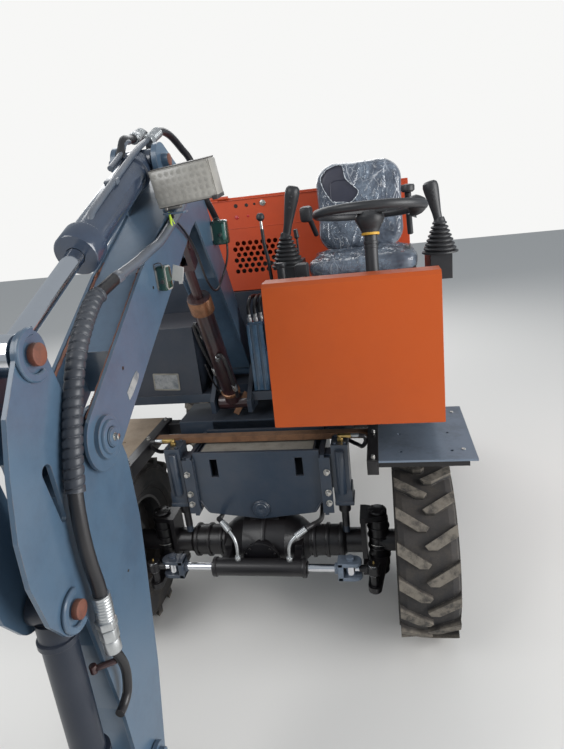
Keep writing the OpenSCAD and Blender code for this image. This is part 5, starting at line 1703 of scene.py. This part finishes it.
@dataclass
class Cylinders(SubAssembly):
    """Glands, pipes, ports and hoses on the three cylinders of the digging gear."""

    body: Body = Body.ARM_BARREL
    boom_base: Point = (225, 940)
    boom_eye: Point = (-142, 1668)
    bucket_eye: Point = (-1234, 462)

    def lay_out(self) -> None:
        """Build the cylinders' pieces."""
        self.arm_cylinder()
        self.glands()
        self.boom_cylinder()

    def arm_cylinder(self) -> None:
        """Build the arm cylinder's gland and pipes."""
        base = at(BOOM_X, *ARM_CYLINDER_BASE)
        ahead = (at(BOOM_X, *ARM_CYLINDER_EYE) - base).normalized()
        up = Vector((0, ahead.z, -ahead.y))
        gland = self.piece("arm_gland", DARK_GLOSS)
        gland.lathe([(43, -62), (52, -60), (52, -4), (49, 0), (30, 2), (22, 3)], base + ahead * 0.512, ahead, 44)
        gland.lathe([(43, 60), (49, 62), (49, 78), (43, 80)], base, ahead, 44)
        pipe = self.piece("arm_cylinder_pipe", PIPE_PAINT)
        pipe.sweep([(-122, y, z) for y, z in ((-312, 1996), (-390, 1968), (-472, 1934), (-600, 1876), (-724, 1818),
                                              (-752, 1800), (-764, 1778))], 17, 16)
        pipe.rod((-122, -764, 1786), (-124, -770, 1762), 26, sides=6, bevel=1.5)
        pipe.sweep([(-156, y, z) for y, z in ((-527, 1914), (-445, 1952), (-404, 1984), (-372, 1990))], 16, 12)
        pipe.block(base + ahead * 0.23 + up * 0.046 + Vector((0.008, 0, 0)), (36, 24, 12),
                   Matrix.Rotation(atan2(ahead.z, ahead.y), 4, "X"), 2)

    def glands(self) -> None:
        """Build the boom and bucket cylinders' glands and end collars."""
        for name, base, eye, length, r, finish, body in (
                ("boom", self.boom_base, self.boom_eye, 587, 37, GLAND_GOLD, Body.BOOM_BARREL),
                ("bucket", BUCKET_CYLINDER_BASE, self.bucket_eye, 437, 36, BUCKET_DARK, Body.BUCKET_BARREL)):
            start = at(BOOM_X, *base)
            way = (at(BOOM_X, *eye) - start).normalized()
            made = self.piece(f"{name}_gland", finish, body)
            made.lathe([(r, -64), (r + 9, -62), (r + 9, -4), (r + 6, 0), (26, 2), (19, 3)], start + way * length / 1000,
                       way, 40)
            made.lathe([(r, 62), (r + 5, 64), (r + 5, 76), (r, 78)], start, way, 40)

    def boom_cylinder(self) -> None:
        """Build the boom cylinder's hoses and ports."""
        front = self.piece("boom_cylinder_hoses", HOSE_RUBBER, Body.BOOM_BARREL)
        for route in (
                [(-180, 150, 1120), (-190, 118, 1180), (-198, 84, 1250), (-202, 54, 1318), (-196, 40, 1346),
                 (-184, 40, 1338), (-178, 58, 1300), (-174, 74, 1268)],
                [(-180, 150, 1120), (-178, 172, 1060), (-174, 196, 1000), (-168, 216, 960)],
                [(-128, 58, 1196), (-116, 44, 1212), (-102, 46, 1200), (-94, 66, 1150), (-92, 104, 1070),
                 (-94, 150, 990)]):
            front.sweep(route, 17, 12)
        front.sweep([(-206, 120, 1150), (-200, 150, 1080), (-188, 190, 1000)], 8, 8)
        caps = self.piece("boom_cylinder_ports", SILVER, Body.BOOM_BARREL)
        for start, end, d in (((-170, 84, 1262), (-182, 70, 1292), 24), ((-134, 76, 1180), (-124, 52, 1204), 24),
                              ((-181, 146, 1128), (-179, 162, 1090), 23), ((-93, 112, 1058), (-92, 128, 1028), 22),
                              ((-175, 190, 1016), (-172, 204, 986), 22)):
            caps.rod(start, end, d, sides=6, bevel=1.5)


@dataclass
class Hoses(SubAssembly):
    """The arm's hose with its spiral guard, the pipes at its ends and the hoses at the boom's apex."""

    body: Body = Body.BOOM
    bend_start: Place = (-75, -820, 1648)
    bend_end: Place = (-58, -1170, 1229)

    def lay_out(self) -> None:
        """Build the hoses and pipes."""
        self.arm_hose()
        self.bucket_pipe()
        self.apex_hoses()

    def arm_hose(self) -> None:
        """Build the boom's pipe, the arm's hose and its guard."""
        route = [(-74, -792, 1656), (-82, -893, 1627), (-76, -960, 1592), (-69, -1034, 1534), (-65, -1093, 1447),
                 (-61, -1132, 1375), (-59, -1158, 1305), (-58, -1170, 1229), (-57, -1172, 1160), (-55, -1168, 1093),
                 (-53, -1172, 1045)]
        tube = self.piece("boom_pipe_run", PIPE_PAINT)
        tube.sweep([(-50, -215, 1862), (-50, -324, 1793), (-50, -514, 1720), (-52, -600, 1700), (-60, -688, 1678),
                    (-74, -791, 1656)], 26, 20)
        tube.rod((-71, -770, 1659), (-74, -794, 1655), 34, sides=6, bevel=1.5)
        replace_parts(tube.done(50), "boom_pipe")
        plain = self.piece("arm_hose_rubber", HOSE_RUBBER)
        plain.sweep(route, 30, 20)
        guard = self.piece("arm_hose_guard", GUARD)
        guard.sweep([(-80, -870, 1634), *route[1:7]], 31, 22, spiral_guard, 1.9)
        start, end = at(*self.bend_start), at(*self.bend_end)
        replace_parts(plain.bend(70, Body.ARM, start, end), "arm_hose")
        guard.bend(70, Body.ARM, start, end)

    def bucket_pipe(self) -> None:
        """Build the ferrules and the pipe on the bucket cylinder."""
        ends = self.piece("arm_hose_ferrules", SILVER, Body.BUCKET_BARREL)
        ends.sweep([(-54, -1170, 1074), (-53, -1171, 1052), (-52, -1175, 1018)], 37, 20, crimp_ridge, 1.5)
        ends.rod((-52, -1176, 1020), (-52, -1176, 1001), 46, sides=6, bevel=2)
        ends.rod((-52, -1176, 998), (-52, -1176, 970), 42, sides=6, bevel=2)
        ends.rod((-52, -1176, 970), (-52, -1176, 938), 37, sides=24, bevel=2)
        pipe = self.piece("bucket_pipe_run", AXLE_BLACK, Body.BUCKET_BARREL)
        pipe.sweep([(-52, -1176, 940), (-52, -1162, 905), (-54, -1150, 866), (-57, -1148, 830), (-60, -1156, 798),
                    (-62, -1176, 784), (-62, -1197, 782)], 21, 14)
        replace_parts(pipe.done(), "cylinder_pipe")
        clamp = self.piece("bucket_pipe_clamp", RUST_PAINT, Body.BUCKET_BARREL)
        clamp.rod((-104, -1182, 889), (-60, -1165, 897), 14, sides=16, bevel=2)
        clamp.rod((-106, -1183, 880), (-106, -1183, 900), 17, sides=16, bevel=2)

    def apex_hoses(self) -> None:
        """Build the three hoses over the boom's apex."""
        loops = self.piece("apex_hoses", HOSE_RUBBER)
        cuffs = self.piece("apex_hose_ferrules", SILVER)
        for line, cuff in (
                ([(-106, -262, 2017), (-103, -220, 2023), (-100, -159, 2012), (-96, -89, 1980), (-84, -40, 1936),
                  (-66, 0, 1820), (-62, 50, 1770), (-60, 89, 1732)], [(-119, -318, 1990), (-106, -258, 2018)]),
                ([(-160, -262, 2020), (-160, -232, 2022), (-160, -208, 2000), (-160, -206, 1950), (-158, -216, 1895)],
                 [(-160, -320, 2003), (-160, -258, 2021)]),
                ([(-160, -326, 2001), (-162, -354, 1997), (-162, -392, 1994), (-160, -425, 1966), (-158, -452, 1940)],
                 [(-160, -316, 2004), (-160, -328, 2000)])):
            loops.sweep(line, 24, 16)
            cuffs.sweep(cuff, 31, 24, crimp_ridge, 1.2)
            cuffs.rod(cuff[0], tuple(a * 0.7 + b * 0.3 for a, b in zip(*cuff)), 37, sides=6, bevel=1.5)


@dataclass
class Bucket(SubAssembly):
    """Wear strips on the bucket."""

    body: Body = Body.BUCKET
    strip_xs: Sequence[float] = (-327, 57)
    strip_turn: float = -0.35

    def lay_out(self) -> None:
        """Build the strips."""
        strips = self.piece("bucket_wear_strips", FRAME_PAINT)
        for x in self.strip_xs:
            strips.block((x, -1010, 150), (6, 150, 40), Matrix.Rotation(self.strip_turn, 4, "X"), 2)


@dataclass
class RearAndSides(SubAssembly):
    """Louvres, latches, plugs, reflectors and bolts on the sides and the back."""

    body: Body = Body.UPPER
    bow_x: float = 41.0
    bow_r: float = 1112.0
    tail_y: float = 1600.0
    low_z: float = 990.3
    height: float = 380.0
    tank_x: float = -640.0

    def lay_out(self) -> None:
        """Build the pieces of the counterweight, the hood's sides and the tank's side."""
        self.counterweight()
        self.sides()

    def counterweight(self) -> None:
        """Build the bowed tail's lips, plugs and reflectors."""
        edge = self.piece("counterweight_lip", FRAME_PAINT)
        glass = self.piece("rear_reflectors", RED_LENS)
        plugs = self.piece("counterweight_plugs", ZINC)
        bow_y = self.tail_y - self.bow_r
        for z in (self.low_z + 26, self.low_z + self.height - 26):
            edge.sweep([(*spot, z) for spot in arc(self.bow_x, bow_y, self.bow_r, 57, 123, 11)], 9, 8)
        for turn in (62, 78, 102, 118):
            out = Vector((cos(radians(turn)), sin(radians(turn)), 0))
            spot = at(self.bow_x, bow_y, self.low_z + self.height / 2) + out * self.bow_r / 1000
            if turn in (62, 118):
                glass.lathe([(0, 9), (26, 8), (33, 4), (35, -2), (0, -2)], spot, out, 32)
            else:
                plugs.bolt(spot - out * 0.001, out, 36)
        for y, z in ((1090, 1060), (1090, 1500), (600, 1060), (250, 1040), (480, 1040)):
            plugs.bolt((self.tank_x, y, z), Vector((-1, 0, 0)), 19)
        plugs.bolt((-480, 1175, 1440), Vector((0, 1, 0)), 19)

    def sides(self) -> None:
        """Build the louvres, latches and handles."""
        slats = self.piece("hood_side_louvres", HOOD_RED)
        latches = self.piece("hood_latches", BLACK_PLASTIC)
        for s, x in ((1, 680), (-1, -340)):
            for i in range(7):
                slats.block((x + s * 2.5, 1010, 1400 + 26 * i), (10, 190, 9), Matrix.Rotation(s * 0.5, 4, "Y"), 2)
            for y, z in ((760, 1600), (1150, 1560)):
                latches.block((x + s * 5, y, z), (12, 26, 62), bevel=4)
                latches.block((x + s * 12, y, z - 12), (8, 14, 26), bevel=3)
        bars = self.piece("tank_handles", BLACK_PLASTIC)
        x = self.tank_x
        for low, high, z in ((620, 860, 1480), (290, 440, 1240)):
            bars.sweep([(x + 2, low, z), (x - 26, low + 4, z), (x - 30, low + 20, z), (x - 30, high - 20, z),
                        (x - 26, high - 4, z), (x + 2, high, z)], 14, 12)


@dataclass
class Studio:
    """Floor, light and camera."""

    eye: Place = (0.5397, -2.2853, 1.8093)
    yaw: float = 0.1962
    pitch: float = 0.3201
    roll: float = 0.115
    lens: float = 26.51
    room_colour: tuple[float, ...] = (0.84, 0.92, 1.0, 1)
    room_strength: float = 0.42
    backdrop_colour: tuple[float, ...] = (0.93, 0.93, 0.92, 1)
    floor_colour: tuple[float, ...] = (0.74, 0.72, 0.69, 1)
    floor_half: float = 14.0

    def camera(self) -> None:
        """Set the camera where the photograph was taken."""
        level = Vector((-sin(self.yaw), cos(self.yaw), 0))
        right = Vector((cos(self.yaw), sin(self.yaw), 0))
        ahead = level * cos(self.pitch) - UP * sin(self.pitch)
        down = -level * sin(self.pitch) - UP * cos(self.pitch)
        right_turned = right * cos(self.roll) + down * sin(self.roll)
        down_turned = -right * sin(self.roll) + down * cos(self.roll)
        turn = Matrix((right_turned, -down_turned, -ahead)).transposed().to_4x4()
        lens = bpy.data.cameras.new("camera")
        lens.lens = self.lens
        lens.sensor_width = 36.0
        lens.sensor_fit = "AUTO"
        lens.clip_start = 0.02
        lens.clip_end = 60.0
        made = bpy.data.objects.new("camera", lens)
        made.matrix_world = Matrix.Translation(Vector(self.eye)) @ turn
        bpy.context.scene.collection.objects.link(made)
        bpy.context.scene.camera = made

    def lamp(self, name: str, place: Place, aim: Place, size: float, power: float) -> None:
        """Hang one square soft lamp.

        Args:
            name: Its name.
            place: Where it hangs.
            aim: What it points to.
            size: Length of its side in metres.
            power: Its power in watts.
        """
        light = bpy.data.lights.new(name, "AREA")
        light.shape = "SQUARE"
        light.size = size
        light.energy = power
        made = bpy.data.objects.new(name, light)
        made.location = place
        made.rotation_euler = (Vector(place) - Vector(aim)).to_track_quat("Z", "Y").to_euler()
        bpy.context.scene.collection.objects.link(made)

    def light(self) -> None:
        """Light the object with a soft sky and three lamps."""
        self.lamp("key", (-2.8, -3.4, 4.4), (0, -0.2, 0.9), 3.0, 125.0)
        self.lamp("side", (4.2, -1.7, 1.9), (0, -0.2, 1.0), 3.0, 200.0)
        self.lamp("back", (-1.2, 4.2, 4.0), (0, 0.2, 1.2), 4.6, 165.0)
        world = bpy.data.worlds.new("pale_room")
        world.use_nodes = True
        bench = NodeBench(world.node_tree)
        world.node_tree.nodes.clear()
        room = bench.node("ShaderNodeBackground", Color=self.room_colour, Strength=self.room_strength)
        shown = bench.node("ShaderNodeBackground", Color=self.backdrop_colour, Strength=1.0)
        path = bench.node("ShaderNodeLightPath")
        mixed = bench.node("ShaderNodeMixShader")
        seen = bench.maths("MAXIMUM", path.outputs["Is Camera Ray"], path.outputs["Is Transmission Ray"])
        for slot, source in zip(mixed.inputs, (seen, room.outputs[0], shown.outputs[0])):
            bench.join(source, slot)
        bench.node("ShaderNodeOutputWorld", Surface=mixed.outputs[0])
        bpy.context.scene.world = world

    def floor(self) -> None:
        """Lay the plain pale floor."""
        shape = bmesh.new()
        bmesh.ops.create_grid(shape, x_segments=1, y_segments=1, size=self.floor_half)
        data = bpy.data.meshes.new("floor")
        shape.to_mesh(data)
        shape.free()
        made = bpy.data.objects.new("floor", data)
        surface = bpy.data.materials.new("pale_floor")
        surface.use_nodes = True
        shader = surface.node_tree.nodes["Principled BSDF"]
        shader.inputs["Base Color"].default_value = self.floor_colour
        shader.inputs["Roughness"].default_value = 0.85
        data.materials.append(surface)
        bpy.context.scene.collection.objects.link(made)


def main() -> None:
    """Build the scene and note its size."""
    logging.basicConfig(level=logging.INFO, format="%(name)s: %(message)s")
    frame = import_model()
    shop = PaintShop()
    shop.dress_nodes(frame["nodes"])
    wheels = [Wheel(shop, body, side, y) for body, side, y in (
        (Body.WHEEL_FRONT_LEFT, Side.LEFT, 0.0), (Body.WHEEL_REAR_LEFT, Side.LEFT, REAR_AXLE_Y),
        (Body.WHEEL_FRONT_RIGHT, Side.RIGHT, 0.0), (Body.WHEEL_REAR_RIGHT, Side.RIGHT, REAR_AXLE_Y))]
    for part in (*wheels, Axles(shop), SteeringCylinder(shop), FrontBracket(shop), Mudguards(shop),
                 SteeringWheel(shop), Joysticks(shop), OperatorStation(shop), Hood(shop), TanksAndValves(shop),
                 Boom(shop), WorkLamps(shop), Arm(shop), Cylinders(shop), Hoses(shop), Bucket(shop),
                 RearAndSides(shop), Seat(shop)):
        part.build()
    studio = Studio()
    studio.camera()
    studio.light()
    studio.floor()
    bpy.context.scene.view_settings.view_transform = "Standard"


if __name__ == "__main__":
    main()
